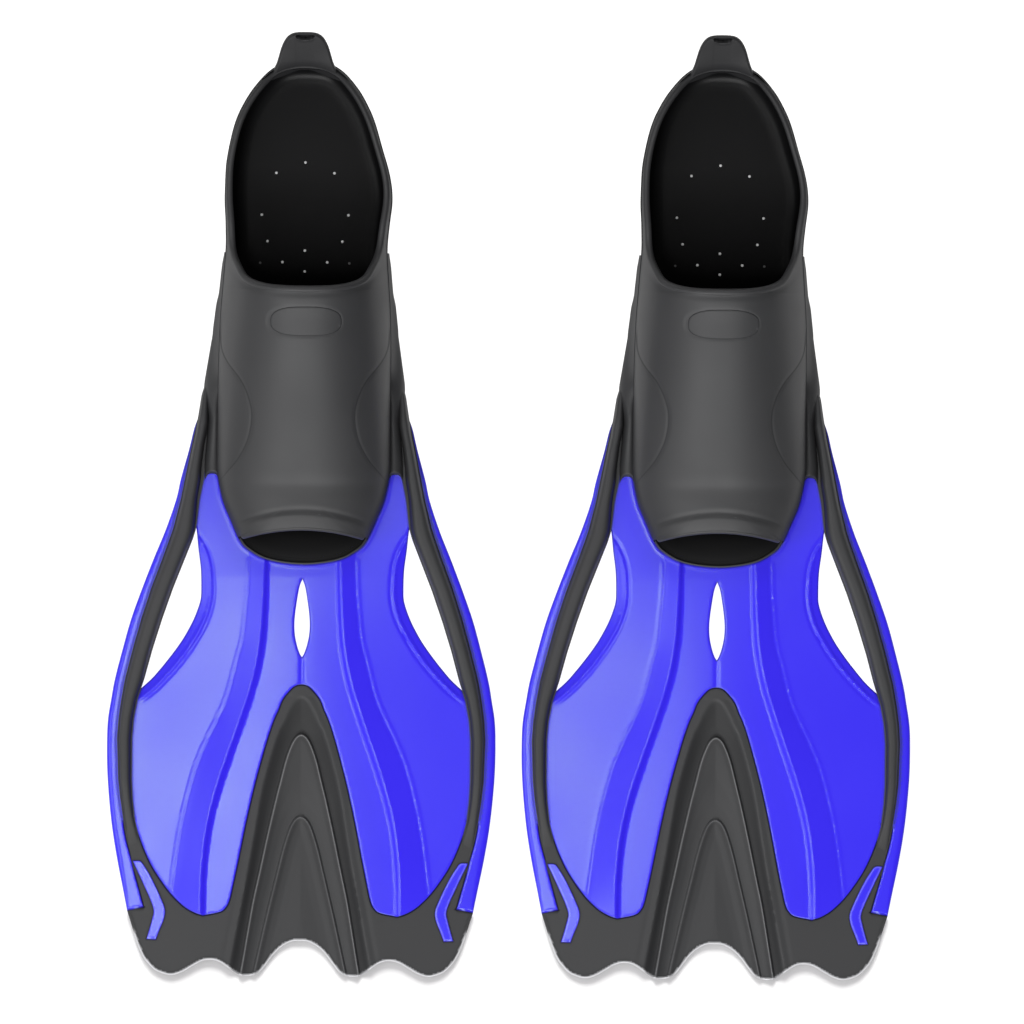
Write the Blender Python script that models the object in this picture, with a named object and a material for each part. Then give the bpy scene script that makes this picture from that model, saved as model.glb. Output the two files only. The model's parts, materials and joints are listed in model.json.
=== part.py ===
"""A pair of full-foot swim fins, lying sole down and side by side.

Each fin is a stiff blue plastic skeleton (a root plate under the toes and a flexing blade) with soft
black rubber moulded round it: foot pocket, outsole, footbed, side rails and the scalloped channel web.
Frame: +Z up, soles on z = 0, heels towards +Y, blade tips towards -Y, the pair centred on x = 0.
All lengths below are in millimetres until MM turns them into metres, all angles in degrees.
Parts ending in _r lie on the +X side of their fin, those in _l on the -X side.
"""

import math

import bmesh
import bpy
from mathutils import Matrix, Vector

for old in list(bpy.data.objects):
    bpy.data.objects.remove(old)

MM = 0.001

# ---------------------------------------------------------------- driving dimensions
FIN_PITCH = 231.8          # centre line to centre line of the two fins
GAP = 0.3                  # clearance kept between neighbouring pieces

PLATE_T = 3.0              # plastic plate, the same at the root and on the blade
PLATE_Z0 = 7.8
PLATE_Z1 = PLATE_Z0 + PLATE_T
SOLE_T = PLATE_Z1          # the outsole's top is flush with the plate's
UPPER_Z0 = SOLE_T + GAP    # lower edge of the foot pocket and footbed
FOOTBED_Z1 = 13.8
WALL = 3.5                 # wall of the foot pocket
GIRTH_Z = 24.0             # height of the pocket's widest line

HINGE_Y = -40.0            # flex line of the blade
HINGE_Z = (PLATE_Z0 + PLATE_Z1) / 2
HINGE_LAP = 20.0           # how far the plate outlines cross the flex line before trimming
KNUCKLE_R = 12.8           # rounded root of the rails, centred on the flex line
PANEL_R = 2.0              # rounded root of the blade plate between the windows
FLEX_DEG = 25.0            # flex each way that the root leaves room for
FLEX_CLEARANCE = 0.4
BLADE_SLOPE = 1.35         # degrees that the blade runs down towards its tip

STEPS = 1                  # points per span of an outline; 1 leaves its spans straight
WINDOW_STEPS = 2           # the same for the windows of the blade

# ---------------------------------------------------------------- measured outlines
# Outline of the foot pocket, right half, heel to toe: (x, y).
POCKET = [
    (0, 247.5), (12, 246.2), (20.5, 241.8), (28.8, 232.7), (34.5, 223.5), (38.9, 213.5),
    (42.8, 199.1), (45.6, 186), (46.8, 171), (45.8, 157), (45.2, 143), (46.3, 125), (47.6, 105),
    (48.2, 80), (48.2, 50), (48.3, 30), (48.0, 18), (45.1, 3.1), (40.6, -8.1), (35.6, -19.3),
    (30.5, -25), (19.3, -30.6), (0, -33.0)]
# The pocket's flank alone: (y, x).
POCKET_FLANK = [(y, x) for x, y in POCKET if x > 30]
# Rim of the pocket's mouth seen from the side, instep to heel: (y, z).
RIM = [
    (122.9, 130), (122.9, 86), (124, 80), (126.3, 75), (131.9, 68), (137.5, 64.2),
    (143.1, 61.7), (154.3, 57.6), (165, 55.6), (175, 55.0), (186, 55.9), (199, 58.0),
    (215, 60.4), (232, 61.9), (262, 62.6), (262, 130)]
# Height of the pocket's crown along its middle line: (y, z).
CROWN = [(-40, 44), (5, 49.5), (20, 54), (60, 66), (100, 78), (124, 84), (150, 80), (171, 77),
         (205, 81), (260, 81)]
# How square the pocket's section is, a smaller exponent being squarer: (y, exponent).
SQUARE = [(-40, 0.85), (124, 0.85), (171, 0.8), (205, 0.5), (260, 0.5)]
SPINE_TOE, SPINE_HEEL = 5.0, 205.0   # ends of the line that the crown closes on
CROWN_ANGLES = (16.0, 32.0, 48.0, 66.0, 90.0)   # rings of the crown above the girth

# Rubber rail, from the pocket's flank to the blade tip: (y, inner x, outer x).
RAIL = [
    (42, 50.0, 60.5), (31, 53.0, 62.5), (14, 55.2, 65.5), (3, 57.7, 67.8),
    (-13.7, 60.0, 72.2), (-30.5, 66.1, 77.8), (-47, 72.2, 84.0), (-64, 78.4, 89.6),
    (-81, 83.7, 94.4), (-97.7, 87.9, 98.6), (-114.5, 92.4, 101.4), (-131, 94.4, 102.8),
    (-148, 94.4, 102.2), (-165, 93.5, 101.1), (-181.7, 91.6, 98.3), (-198, 89.6, 95.2)]
# Outer edge of the whole fin, which is the plate's edge beside the rail: (y, x).
EDGE = [
    (140, 45.6), (118, 47.2), (98, 51.5), (81.5, 54.0), (64.7, 56.6), (48, 59.1), (42, 61.2),
    (31, 63.8), (14.3, 68.0), (3, 70.8), (-13.7, 76.3), (-30.5, 83.0), (-47.3, 89.4),
    (-64, 95.3), (-81, 100.2), (-97.7, 104.3), (-109, 106.4), (-120, 108.1), (-131.3, 108.6),
    (-148, 108.3), (-165, 107.2), (-181.7, 105.2), (-198.5, 102.4), (-215.3, 99.2),
    (-227.4, 96.7)]

# The outlines from here on are right halves: (x, y).
# Plate edge beside the window, heel end to tip end.
WINDOW = [(59.5, -13.0), (58.8, -25), (57.1, -37.7), (56.5, -46), (56.8, -53), (60.8, -64.1),
          (66.6, -75.3), (74.2, -86.5), (83.4, -97.7), (90.0, -103.6)]
# Shank of the root plate under the foot, from the outer edge to the middle line.
SHANK = [(60.5, 40), (52, 46), (36, 62), (34, 98), (28, 108), (0, 110)]
# Blade against the channel web, apex to the lobe's far end, then back up to the rail.
LOBE_IN = [
    (0, -100.5), (6.2, -103.3), (10.4, -108.9), (15.1, -120.1), (18.8, -131.3), (24.9, -153.7),
    (30, -176.1), (34.4, -198.5), (36.7, -209.7), (39.2, -220.9), (43.5, -227.0),
    (54.3, -229.9)]
LOBE_OUT = [(54.3, -229.9), (63.6, -226.5), (71.4, -220.9), (78.0, -209.7), (84.8, -198.5),
            (88.4, -190.0), (90.0, -184.0)]
# Inner edge of the plastic strip outside the rail.
STRIP_IN = [(93.4, -184.0), (95.0, -190.0), (94.4, -203.0), (91.6, -215.3), (87.5, -225.4)]
# Scalloped tip, middle to side.
TIP = [
    (0, -242.2), (5, -242.6), (10.6, -246.1), (17.4, -254.5), (22.5, -260.8), (28.8, -263.5),
    (34.2, -262.4), (40.9, -256.8), (46, -254.2), (51, -253.4), (56, -254.9), (61, -258.4),
    (67, -262), (73, -263.1), (79, -261.3), (84.6, -256.8), (89.5, -248.9), (93.3, -238.5),
    (96.4, -228.6)]
# Slot on the blade's middle line.
SLOT = [(0, -42.6), (2.4, -50), (4.1, -60), (4.4, -67), (3.6, -75), (1.6, -82), (0, -85.2)]
# Closed outline of the plastic chevron let into the web.
CHEVRON = [
    (93.0, -200.0), (89.8, -199.9), (87.5, -201.9), (83.6, -207.4), (78.0, -216.8),
    (75.7, -223.0), (75.3, -227.8), (76.4, -233.2), (80.2, -243.7), (86.7, -243.5),
    (83.6, -237.2), (81.6, -232.5), (81.6, -227.8), (82.8, -223.0), (85.9, -215.2),
    (89.8, -207.4)]
# Raised rib of the blade, its outer and inner edges.
RIB_OUT = [(29.5, -36.5), (28.8, -47.9), (31.8, -62.4), (35.9, -80.9), (45.9, -114.5),
           (56.6, -143.6), (64.3, -169.4), (69.0, -198.5), (71.6, -216)]
RIB_IN = [(18.8, -36.5), (18.5, -47.9), (19.5, -62.4), (21.6, -80.9), (29.4, -112.8),
          (39.3, -142), (47.0, -169.4), (51.3, -198.5), (52.9, -224)]

WORK = bpy.data.collections.new("cutters")
FINS = bpy.data.collections.new("swim_fins")
for collection in (WORK, FINS):
    bpy.context.scene.collection.children.link(collection)


# ---------------------------------------------------------------- outlines
def along(table, y, column=1):
    """Value of a (y, ...) table at y, straight between its rows."""
    rows = sorted(table)
    if y <= rows[0][0]:
        return rows[0][column]
    for a, b in zip(rows, rows[1:]):
        if y <= b[0]:
            return a[column] + (b[column] - a[column]) * (y - a[0]) / (b[0] - a[0])
    return rows[-1][column]


def smooth(points, steps=STEPS):
    """Catmull-Rom curve through open control points, with the given steps to a span."""
    out = []
    last = len(points) - 1
    for i in range(last):
        before, start, end, after = [Vector(points[max(0, min(last, i + k))])
                                     for k in (-1, 0, 1, 2)]
        for j in range(steps):
            t = j / steps
            out.append(0.5 * ((2 * start) + (end - before) * t
                              + (2 * before - 5 * start + 4 * end - after) * t * t
                              + (3 * start - before - 3 * end + after) * t ** 3))
    out.append(Vector(points[-1]))
    return [tuple(point) for point in out]


def mirrored(half):
    """Closed loop from a right half that starts and ends on the middle line."""
    return list(half) + [(-x, y) for x, y in reversed(half[1:-1])]


def flipped(loop, side):
    """The loop itself for side 1, its mirror image in x for side -1."""
    return [(side * x, y) for x, y in loop]


def between(points, low=-math.inf, high=math.inf):
    """The points whose y lies between low and high."""
    return [point for point in points if low < point[1] < high]


def inset(loop, distance):
    """The closed loop moved inwards, or outwards for a negative distance."""
    n = len(loop)
    area = sum(loop[i][0] * loop[(i + 1) % n][1] - loop[(i + 1) % n][0] * loop[i][1]
               for i in range(n))
    shift = distance if area > 0 else -distance
    out = []
    for i in range(n):
        tangent = (Vector(loop[(i + 1) % n]) - Vector(loop[i - 1])).normalized()
        out.append((loop[i][0] - tangent.y * shift, loop[i][1] + tangent.x * shift))
    return out


def pill(y, half_length, radius, steps=6):
    """A round-ended bar along X, centred on the middle line."""
    points = []
    for start, end_x in ((-math.pi / 2, half_length - radius), (math.pi / 2, radius - half_length)):
        for k in range(steps + 1):
            angle = start + math.pi * k / steps
            points.append((end_x + radius * math.cos(angle), y + radius * math.sin(angle)))
    return points


# ---------------------------------------------------------------- solids
def new_object(name, mesh):
    obj = bpy.data.objects.new(name, mesh)
    WORK.objects.link(obj)
    obj.hide_render = True
    obj.display_type = "WIRE"
    return obj


def object_from(name, bm):
    mesh = bpy.data.meshes.new(name)
    bm.to_mesh(mesh)
    bm.free()
    return new_object(name, mesh)


def baked(obj):
    """The object's evaluated mesh in place of the object, with its caps welded."""
    bpy.context.view_layer.update()
    graph = bpy.context.evaluated_depsgraph_get()
    mesh = bpy.data.meshes.new_from_object(obj.evaluated_get(graph))
    mesh.transform(obj.matrix_world)
    bm = bmesh.new()
    bm.from_mesh(mesh)
    bmesh.ops.remove_doubles(bm, verts=bm.verts, dist=1e-6)
    bmesh.ops.recalc_face_normals(bm, faces=bm.faces)
    bm.to_mesh(mesh)
    bm.free()
    name = obj.name
    bpy.data.objects.remove(obj)
    return new_object(name, mesh)


def add_polyline(curve, points, z=0.0):
    spline = curve.splines.new("POLY")
    spline.points.add(len(points) - 1)
    for target, (x, y) in zip(spline.points, points):
        target.co = (x * MM, y * MM, z * MM, 1)
    return spline


def slab(name, loops, z0, z1):
    """A flat plate between z0 and z1: the first loop is its outline, the rest are holes."""
    curve = bpy.data.curves.new(name, "CURVE")
    curve.dimensions = "2D"
    curve.fill_mode = "BOTH"
    curve.extrude = (z1 - z0) / 2 * MM
    for loop in loops:
        add_polyline(curve, loop).use_cyclic_u = True
    obj = bpy.data.objects.new(name, curve)
    WORK.objects.link(obj)
    obj.location.z = (z0 + z1) / 2 * MM
    return baked(obj)


def skin(sections):
    """Walls through rings of equal count, closed at the first ring; also the last ring."""
    bm = bmesh.new()
    rings = [[bm.verts.new(Vector(point) * MM) for point in ring] for ring in sections]
    n = len(rings[0])
    for a, b in zip(rings, rings[1:]):
        for i in range(n):
            bm.faces.new((a[i], a[(i + 1) % n], b[(i + 1) % n], b[i]))
    bm.faces.new(rings[0])
    return bm, rings[-1]


def loft(name, sections, side):
    """A closed body through rings of (x, y, z), mirrored in x for side -1."""
    bm, last = skin([[(side * x, y, z) for x, y, z in ring] for ring in sections])
    bm.faces.new(list(reversed(last)))
    bmesh.ops.recalc_face_normals(bm, faces=bm.faces)
    return object_from(name, bm)


def box(name, low, high):
    bm = bmesh.new()
    bmesh.ops.create_cube(bm, size=1)
    for vert in bm.verts:
        vert.co = Vector([(low[k] + high[k]) / 2 + vert.co[k] * (high[k] - low[k])
                          for k in range(3)]) * MM
    return object_from(name, bm)


def rod(name, y, z, radius, x0, x1, segments):
    """A cylinder along X."""
    bm = bmesh.new()
    bmesh.ops.create_cone(bm, cap_ends=True, segments=segments, radius1=radius * MM,
                          radius2=radius * MM, depth=(x1 - x0) * MM)
    centre = Vector(((x0 + x1) / 2, y, z)) * MM
    bm.transform(Matrix.Translation(centre) @ Matrix.Rotation(math.pi / 2, 4, "Y"))
    return object_from(name, bm)


def boolean(target, tool, operation):
    modifier = target.modifiers.new(operation.lower(), "BOOLEAN")
    modifier.operation = operation
    modifier.solver = "EXACT"
    modifier.object = tool
    return baked(target)


def cut(target, tool):
    return boolean(target, tool, "DIFFERENCE")


def join(target, tool):
    return boolean(target, tool, "UNION")


def keep(target, tool):
    return boolean(target, tool, "INTERSECT")


# ---------------------------------------------------------------- shared forms
POCKET_LOOP = mirrored(smooth(POCKET))
RAIL_INNER = smooth([(inner, y) for y, inner, outer in RAIL])
EDGE_LINE = [(x, y) for y, x in EDGE]


def dome(name, inward, low):
    """The pocket's outer form moved inwards, as a closed body standing on z = low."""
    outline = inset(POCKET_LOOP, inward)
    rings = [[(x, y, low) for x, y in outline], [(x, y, GIRTH_Z) for x, y in outline]]
    for angle in CROWN_ANGLES:
        ring = []
        for x, y in outline:
            spine_y = min(max(y, SPINE_TOE), SPINE_HEEL)
            power = along(SQUARE, spine_y)
            rise = along(CROWN, spine_y) - inward - GIRTH_Z
            spread = 0.0 if angle >= 90 else math.cos(math.radians(angle)) ** power
            lift = math.sin(math.radians(angle)) ** (0.3 + 0.7 * power)
            ring.append((x * spread, spine_y + (y - spine_y) * spread, GIRTH_Z + rise * lift))
        rings.append(ring)
    bm, _ = skin(rings)
    # The last ring lies folded on the spine, so welding it closes the crown.
    bmesh.ops.remove_doubles(bm, verts=bm.verts, dist=1e-6)
    bmesh.ops.recalc_face_normals(bm, faces=bm.faces)
    return object_from(name, bm)


def shell_layer(name, outer, under_name, under):
    """The pocket's form between two inward offsets, open underneath."""
    return cut(dome(name, outer, UPPER_Z0), dome(under_name, under, UPPER_Z0 - 2))


def rail_ring(y, inner, outer, z0, height):
    """Section of a rail with a rounded crown, or a rounded keel when height is negative."""
    profile = [(0.0, 0.0), (0.03, 0.62), (0.24, 0.93), (0.5, 1.0), (0.76, 0.93), (0.97, 0.62),
               (1.0, 0.0)]   # (share of the width, share of the height)
    return [(inner + u * (outer - inner), y, z0 + v * height) for u, v in profile]


def root_outline():
    """Plan of the root plate, run past the flex line for trimming."""
    end = HINGE_Y - HINGE_LAP
    half = [(0, end), (57.0, end)]
    half += between(reversed(smooth(WINDOW)), low=end)
    half += between(RAIL_INNER, end, -16)
    half += [(along(RAIL, end, 1), end), (along(EDGE, end), end)]
    half += between(reversed(EDGE_LINE), end, 36)
    half += SHANK
    return mirrored(half)


def blade_outline():
    """Plan of the blade plate, run back past the flex line for trimming."""
    start = HINGE_Y + HINGE_LAP
    half = [(0, start), (58.3, start)]
    half += between(smooth(WINDOW, WINDOW_STEPS), high=start)
    half += between(reversed(RAIL_INNER), -103, start)
    half += [(along(RAIL, start, 1), start), (along(EDGE, start), start)]
    half += between(EDGE_LINE, high=start)
    half += list(reversed(smooth(STRIP_IN))) + list(reversed(smooth(LOBE_OUT)))
    half += list(reversed(smooth(LOBE_IN)))[1:]
    return mirrored(half)


def blade_space(name, grow):
    """Everything beyond the rounded flex line; grow adds clearance and room to flex."""
    split_x = 63.0         # the knuckles lie outside this, the panel's root inside
    lap = 0.5

    def strip(radius, x0, x1, segments):
        root = rod(name, HINGE_Y, HINGE_Z, radius + grow, x0, x1, segments)
        lip = radius * math.sin(math.radians(FLEX_DEG)) + grow if grow else 0.0
        return join(root, box(name, (x0, -300, -60), (x1, HINGE_Y + lip, 90)))

    knuckles = [strip(KNUCKLE_R, x0, x1, 48) for x0, x1 in ((-130.0, -split_x), (split_x, 130.0))]
    space = strip(PANEL_R, -split_x - lap, split_x + lap, 20)
    for knuckle in knuckles:
        space = join(space, knuckle)
    return space


def slope(obj):
    """Tilts a piece made level with the foot's plate so that it follows the blade."""
    pivot = Vector((0, HINGE_Y, HINGE_Z)) * MM
    tilt = Matrix.Rotation(math.radians(BLADE_SLOPE), 4, "X")
    obj.data.transform(Matrix.Translation(pivot) @ tilt @ Matrix.Translation(-pivot))
    return obj


# ---------------------------------------------------------------- root plate, sole and footbed
# Drain holes in the sole: (x, y), those off the middle line mirrored.
VENTS = [(0, 191.5), (16.2, 185.5), (24.2, 162.1), (21.0, 147.3), (0, 142.4), (25.1, 135.1),
         (12.5, 135.8), (0, 130.8)]
VENT_R = 1.3
VENT_SIDES = 6
GROOVE_DEPTH = 1.4
SOLE_INSET = 0.6           # outsole edge inside the pocket's and the fin's edge


def vent_loops():
    turns = [2 * math.pi * k / VENT_SIDES for k in range(VENT_SIDES)]
    return [[(side * x + VENT_R * math.cos(turn), y + VENT_R * math.sin(turn)) for turn in turns]
            for x, y in VENTS for side in ((1,) if x == 0 else (1, -1))]


def blade_root(blade_room):
    """Plastic root plate, from the shank under the foot to the flex line."""
    return cut(slab("blade_root", [root_outline()], PLATE_Z0, PLATE_Z1), blade_room)


def sole_flank(side):
    """The outsole's side, running out into the keel of the rail."""
    rings = []
    for y in (140, 118, 98, 81.5, 64.7, 48, 36, 14, -13.7, -29.0):
        if y > 20:
            inner = along(POCKET_FLANK, y) - 3.0
        else:
            inner = 46.0 if y == 14 else along(RAIL, y, 1)
        outer = along(EDGE, y) - SOLE_INSET if y > 36 else along(RAIL, y, 2)
        rings.append([(inner, y, SOLE_T), (inner, y, 2.0), (outer - 1.5, y, 2.0),
                      (outer, y, 4.5), (outer, y, SOLE_T)])
    return loft("flank", rings, side)


def outsole(blade_room):
    """Outsole recessed for the plate, with a barred tread and drain holes."""
    sole = slab("outsole", [inset(POCKET_LOOP, SOLE_INSET)], 0.0, SOLE_T)
    for side in (1, -1):
        sole = join(sole, sole_flank(side))
    sole = cut(sole, slab("plate_room", [inset(root_outline(), -GAP)],
                          PLATE_Z0 - GAP, PLATE_Z1 + 1.0))
    sole = cut(sole, blade_room)
    # (y, half length in x, half width in y), under the forefoot and then the heel
    grooves = [(y, along(POCKET_FLANK, y) - 9, 1.6) for y in range(96, -1, -16)]
    grooves += [(y, 22, 1.5) for y in (214, 202, 190)]
    for y, half_x, half_y in grooves:
        sole = cut(sole, box("groove", (-half_x, y - half_y, -1),
                             (half_x, y + half_y, GROOVE_DEPTH)))
    for loop in vent_loops():
        sole = cut(sole, slab("vent", [loop], -1, 16))
    return sole


def footbed():
    """Footbed inside the pocket, pierced by the drain holes."""
    return slab("footbed", [inset(POCKET_LOOP, WALL + GAP)] + vent_loops(), UPPER_Z0, FOOTBED_Z1)


# ---------------------------------------------------------------- foot pocket, badge and heel tab
BADGE_Y = 103.3
BADGE_HALF_LENGTH, BADGE_R = 20.0, 8.4
BADGE_T = 1.2
FLANK_HEEL_Y, FLANK_TOE_Y = 140, 42   # ends of the pocket's sloping flank
RAIL_H = 10.6                         # rail beside the toes
RAIL_INNER_AT_POCKET = {42: 46.5, 31: 50.5}   # inner x where the rail meets the pocket, by y

TAB_Y, TAB_Z = 246.3, 61.4            # root line of the heel tab
TAB_TILT = 38.0
TAB_T = 4.4
# Right half of the tab, from its root line: (x, distance out).
TAB_HALF = [(0, 0.0), (16.6, 0.0), (15.4, 3.8), (13.4, 10.9), (12.2, 14.6), (10.6, 17.4),
            (8.6, 19.2), (6.0, 19.9), (0, 19.9)]
TAB_SLOT = [(6, 14.4), (4, 15.6), (0, 16.0), (-4, 15.6), (-6, 14.4), (-4, 13.4), (0, 13.0),
            (4, 13.4)]


def pocket_flank(side):
    """The pocket's side, sloping outwards and running out into the rail."""
    rings = []
    for y in (140, 118, 98, 81.5, 64.7, 48, 42, 31, 14, 3, -13.7, -29.5):
        if y > FLANK_TOE_Y:
            inner, outer = along(POCKET_FLANK, y) - 2.0, along(EDGE, y)
            width = outer - inner
            share = (FLANK_HEEL_Y - y) / (FLANK_HEEL_Y - FLANK_TOE_Y)
            high, low = 30 - 5 * share, 15 + 6 * share
            rings.append([(inner, y, UPPER_Z0), (inner, y, high),
                          (inner + 0.35 * width, y, high * 0.6 + low * 0.4),
                          (inner + 0.7 * width, y, high * 0.3 + low * 0.7),
                          (outer - 0.9, y, low), (outer, y, low - 2.0), (outer, y, UPPER_Z0)])
        else:
            inner = RAIL_INNER_AT_POCKET.get(y, along(RAIL, y, 1))
            rings.append(rail_ring(y, inner, along(RAIL, y, 2), UPPER_Z0, RAIL_H))
    return loft("flank", rings, side)


def mouth_cutter():
    """The side profile of the mouth, swept right across the pocket."""
    mouth = slab("mouth", [[(z, y) for y, z in RIM]], -70, 70)
    mouth.data.transform(Matrix.Rotation(-math.pi / 2, 4, "Y"))
    return mouth


def toe_cutter():
    """The toe opening, with a bowed edge towards the foot."""
    arc = [(x, -16.2 - 3.6 * (x / 36) ** 2) for x in (-36, -24, -12, 0, 12, 24, 36)]
    loop = [(-44, -30)] + arc + [(44, -30), (44, -60), (-44, -60)]
    return slab("toe_mouth", [loop], 15.8, 90)


def badge():
    """Pill-shaped badge that follows the crown of the pocket."""
    body = shell_layer("badge", 0.0, "under_badge", BADGE_T)
    plan = slab("badge_plan", [pill(BADGE_Y, BADGE_HALF_LENGTH, BADGE_R)], 50, 120)
    return keep(body, plan)


def badge_seat():
    """Room for the badge, carried up clear of the pocket."""
    seat = shell_layer("seat", -6.0, "under_seat", BADGE_T + GAP)
    plan = pill(BADGE_Y, BADGE_HALF_LENGTH + GAP, BADGE_R + GAP)
    return keep(seat, slab("seat_plan", [plan], 50, 120))


def foot_pocket(blade_room):
    """Rubber shell with flanks, mouth, toe opening and seats for the badge and tab."""
    shell = shell_layer("foot_pocket", 0.0, "inside", WALL)
    for side in (1, -1):
        shell = join(shell, pocket_flank(side))
    shell = cut(shell, blade_room)
    shell = cut(shell, mouth_cutter())
    shell = cut(shell, toe_cutter())
    shell = cut(shell, badge_seat())
    return cut(shell, rod("tab_room", TAB_Y, TAB_Z, TAB_T / 2 + 0.65, -24, 24, 24))


def heel_tab():
    """A tongue with a slot, on a rounded root."""
    tongue = slab("heel_tab", [mirrored(TAB_HALF), TAB_SLOT], -TAB_T / 2, TAB_T / 2)
    tongue.data.transform(Matrix.Translation(Vector((0, TAB_Y, TAB_Z)) * MM)
                          @ Matrix.Rotation(math.radians(TAB_TILT), 4, "X"))
    return join(tongue, rod("tab_root", TAB_Y, TAB_Z, TAB_T / 2 + 0.25, -15.2, 15.2, 20))


# ---------------------------------------------------------------- blade, rails and web
RIB_SINK, RIB_RISE = 1.0, 1.6          # rib below and above the plate's top
RAIL_START, RAIL_END = HINGE_Y + 16, RAIL[-1][0]
CROWN_H, CROWN_DROP = 10.4, 8.0        # rail above the plate: height at the root, loss by the tip
KEEL_H, KEEL_DROP = 6.4, 4.4           # the same below the plate
KEEL_INSET = 0.8

WEB_T = 2.4
WEB_Z0 = PLATE_Z0 + 0.3
WEB_Z1 = WEB_Z0 + WEB_T
CHEVRON_Z0 = PLATE_Z0 + 1.5
CHEVRON_Z1 = PLATE_Z1
RIDGE_SINK = 0.9
# Nested ridges of the web: right half as (x, y), radius, height.
RIDGES = [
    ([(3.0, -112), (12.2, -140), (22.5, -180), (32.5, -220), (42.5, -262)], 1.7, 1.0),
    ([(1.8, -132), (8.5, -160), (16.2, -195), (24.0, -230), (31.0, -270)], 1.4, 0.6)]


def blade_panel(blade_keep):
    """Plastic blade with its raised ribs, slot and windows."""
    blade = slab("blade_panel", [blade_outline(), mirrored(SLOT)], PLATE_Z0, PLATE_Z1)
    for side in (1, -1):
        loop = flipped(RIB_OUT + list(reversed(RIB_IN)), side)
        blade = join(blade, slab("rib", [loop], PLATE_Z1 - RIB_SINK, PLATE_Z1 + RIB_RISE))
    return keep(slope(blade), blade_keep)


def blade_rail(name, side, blade_keep, z0, height, drop, narrowing):
    """One rail on the blade's face at z0, losing drop of its height by the tip."""
    rings = []
    for y in [RAIL_START, HINGE_Y + 6] + [row[0] for row in RAIL if row[0] < HINGE_Y + 1]:
        share = (RAIL_START - y) / (RAIL_START - RAIL_END)
        rings.append(rail_ring(y, along(RAIL, y, 1) + narrowing, along(RAIL, y, 2) - narrowing,
                               z0, height - drop * share))
    return keep(slope(loft(name, rings, side)), blade_keep)


def ridge(points, radius, height, web_loop):
    """A round bead bent in a V along the web, trimmed to the web's plan."""
    curve = bpy.data.curves.new("ridge", "CURVE")
    curve.dimensions = "3D"
    curve.bevel_depth = radius * MM
    curve.bevel_resolution = 1
    curve.use_fill_caps = True
    path = [(-x, y) for x, y in reversed(points)] + points
    add_polyline(curve, path, WEB_Z1 - RIDGE_SINK + height)
    bead = bpy.data.objects.new("ridge", curve)
    WORK.objects.link(bead)
    return keep(baked(bead), slab("ridge_room", [inset(web_loop, 0.8)], 0, 30))


def channel_web():
    """Channel web and scalloped tip, with two nested ridges and the chevrons' seats."""
    half = [(0, -100.9)] + smooth(LOBE_IN)[1:-1] + [LOBE_OUT[0]]
    half += smooth(LOBE_OUT)[1:] + smooth(STRIP_IN) + list(reversed(TIP))
    web_loop = mirrored(half)
    web = slab("channel_web", [web_loop], WEB_Z0, WEB_Z1)
    web = cut(web, slab("lobes", [inset(blade_outline(), -GAP)], 0, 30))
    for points, radius, height in RIDGES:
        web = join(web, ridge(points, radius, height, web_loop))
    for side in (1, -1):
        loop = inset(flipped(CHEVRON, side), -GAP)
        web = cut(web, slab("chevron_seat", [loop], CHEVRON_Z0 - GAP, 30))
    return slope(web)


def chevron(name, side):
    return slope(slab(name, [flipped(CHEVRON, side)], CHEVRON_Z0, CHEVRON_Z1))


# ---------------------------------------------------------------- materials
def material(name, colour, roughness):
    made = bpy.data.materials.new(name)
    made.use_nodes = True
    shader = made.node_tree.nodes["Principled BSDF"]
    shader.inputs["Base Color"].default_value = colour
    shader.inputs["Roughness"].default_value = roughness
    shader.inputs["Metallic"].default_value = 0.0
    return made


RUBBER = material("rubber", colour=(0.055, 0.055, 0.06, 1), roughness=0.5)
FOOTBED_RUBBER = material("footbed_rubber", colour=(0.02, 0.02, 0.022, 1), roughness=0.6)
PLASTIC = material("blade_plastic", colour=(0.06, 0.045, 0.86, 1), roughness=0.3)
SHARP_ANGLE = 35.0


# ---------------------------------------------------------------- assembly
def build_parts():
    """Every piece of one fin, centred on x = 0: name to (object, material)."""
    room = blade_space("blade_room", FLEX_CLEARANCE)
    space = blade_space("blade_keep", 0.0)
    parts = {
        "blade_root": (blade_root(room), PLASTIC),
        "outsole": (outsole(room), RUBBER),
        "footbed": (footbed(), FOOTBED_RUBBER),
        "badge": (badge(), RUBBER),
        "foot_pocket": (foot_pocket(room), RUBBER),
        "heel_tab": (heel_tab(), RUBBER),
        "blade_panel": (blade_panel(space), PLASTIC),
        "channel_web": (channel_web(), RUBBER),
    }
    for side, letter in ((1, "r"), (-1, "l")):
        top, bottom, inlay = "rail_top_" + letter, "rail_bottom_" + letter, "chevron_" + letter
        parts[top] = (blade_rail(top, side, space, z0=PLATE_Z1 + GAP, height=CROWN_H,
                                 drop=CROWN_DROP, narrowing=0.0), RUBBER)
        parts[bottom] = (blade_rail(bottom, side, space, z0=PLATE_Z0 - GAP, height=-KEEL_H,
                                    drop=-KEEL_DROP, narrowing=KEEL_INSET), RUBBER)
        parts[inlay] = (chevron(inlay, side), PLASTIC)
    return parts


def place_fin(fin, x, parts):
    base = bpy.data.objects.new(fin + "_fin", None)
    base.location = (x * MM, 0, 0)
    FINS.objects.link(base)
    for name, (prototype, look) in parts.items():
        mesh = prototype.data
        # Both fins share their meshes, so each is finished only once.
        if not mesh.materials:
            mesh.materials.append(look)
            mesh.shade_smooth()
            mesh.set_sharp_from_angle(angle=math.radians(SHARP_ANGLE))
        obj = bpy.data.objects.new(fin + "_" + name, mesh)
        FINS.objects.link(obj)
        obj.parent = base


PARTS = build_parts()
place_fin("left", -FIN_PITCH / 2, PARTS)
place_fin("right", FIN_PITCH / 2, PARTS)
bpy.context.view_layer.update()
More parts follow.
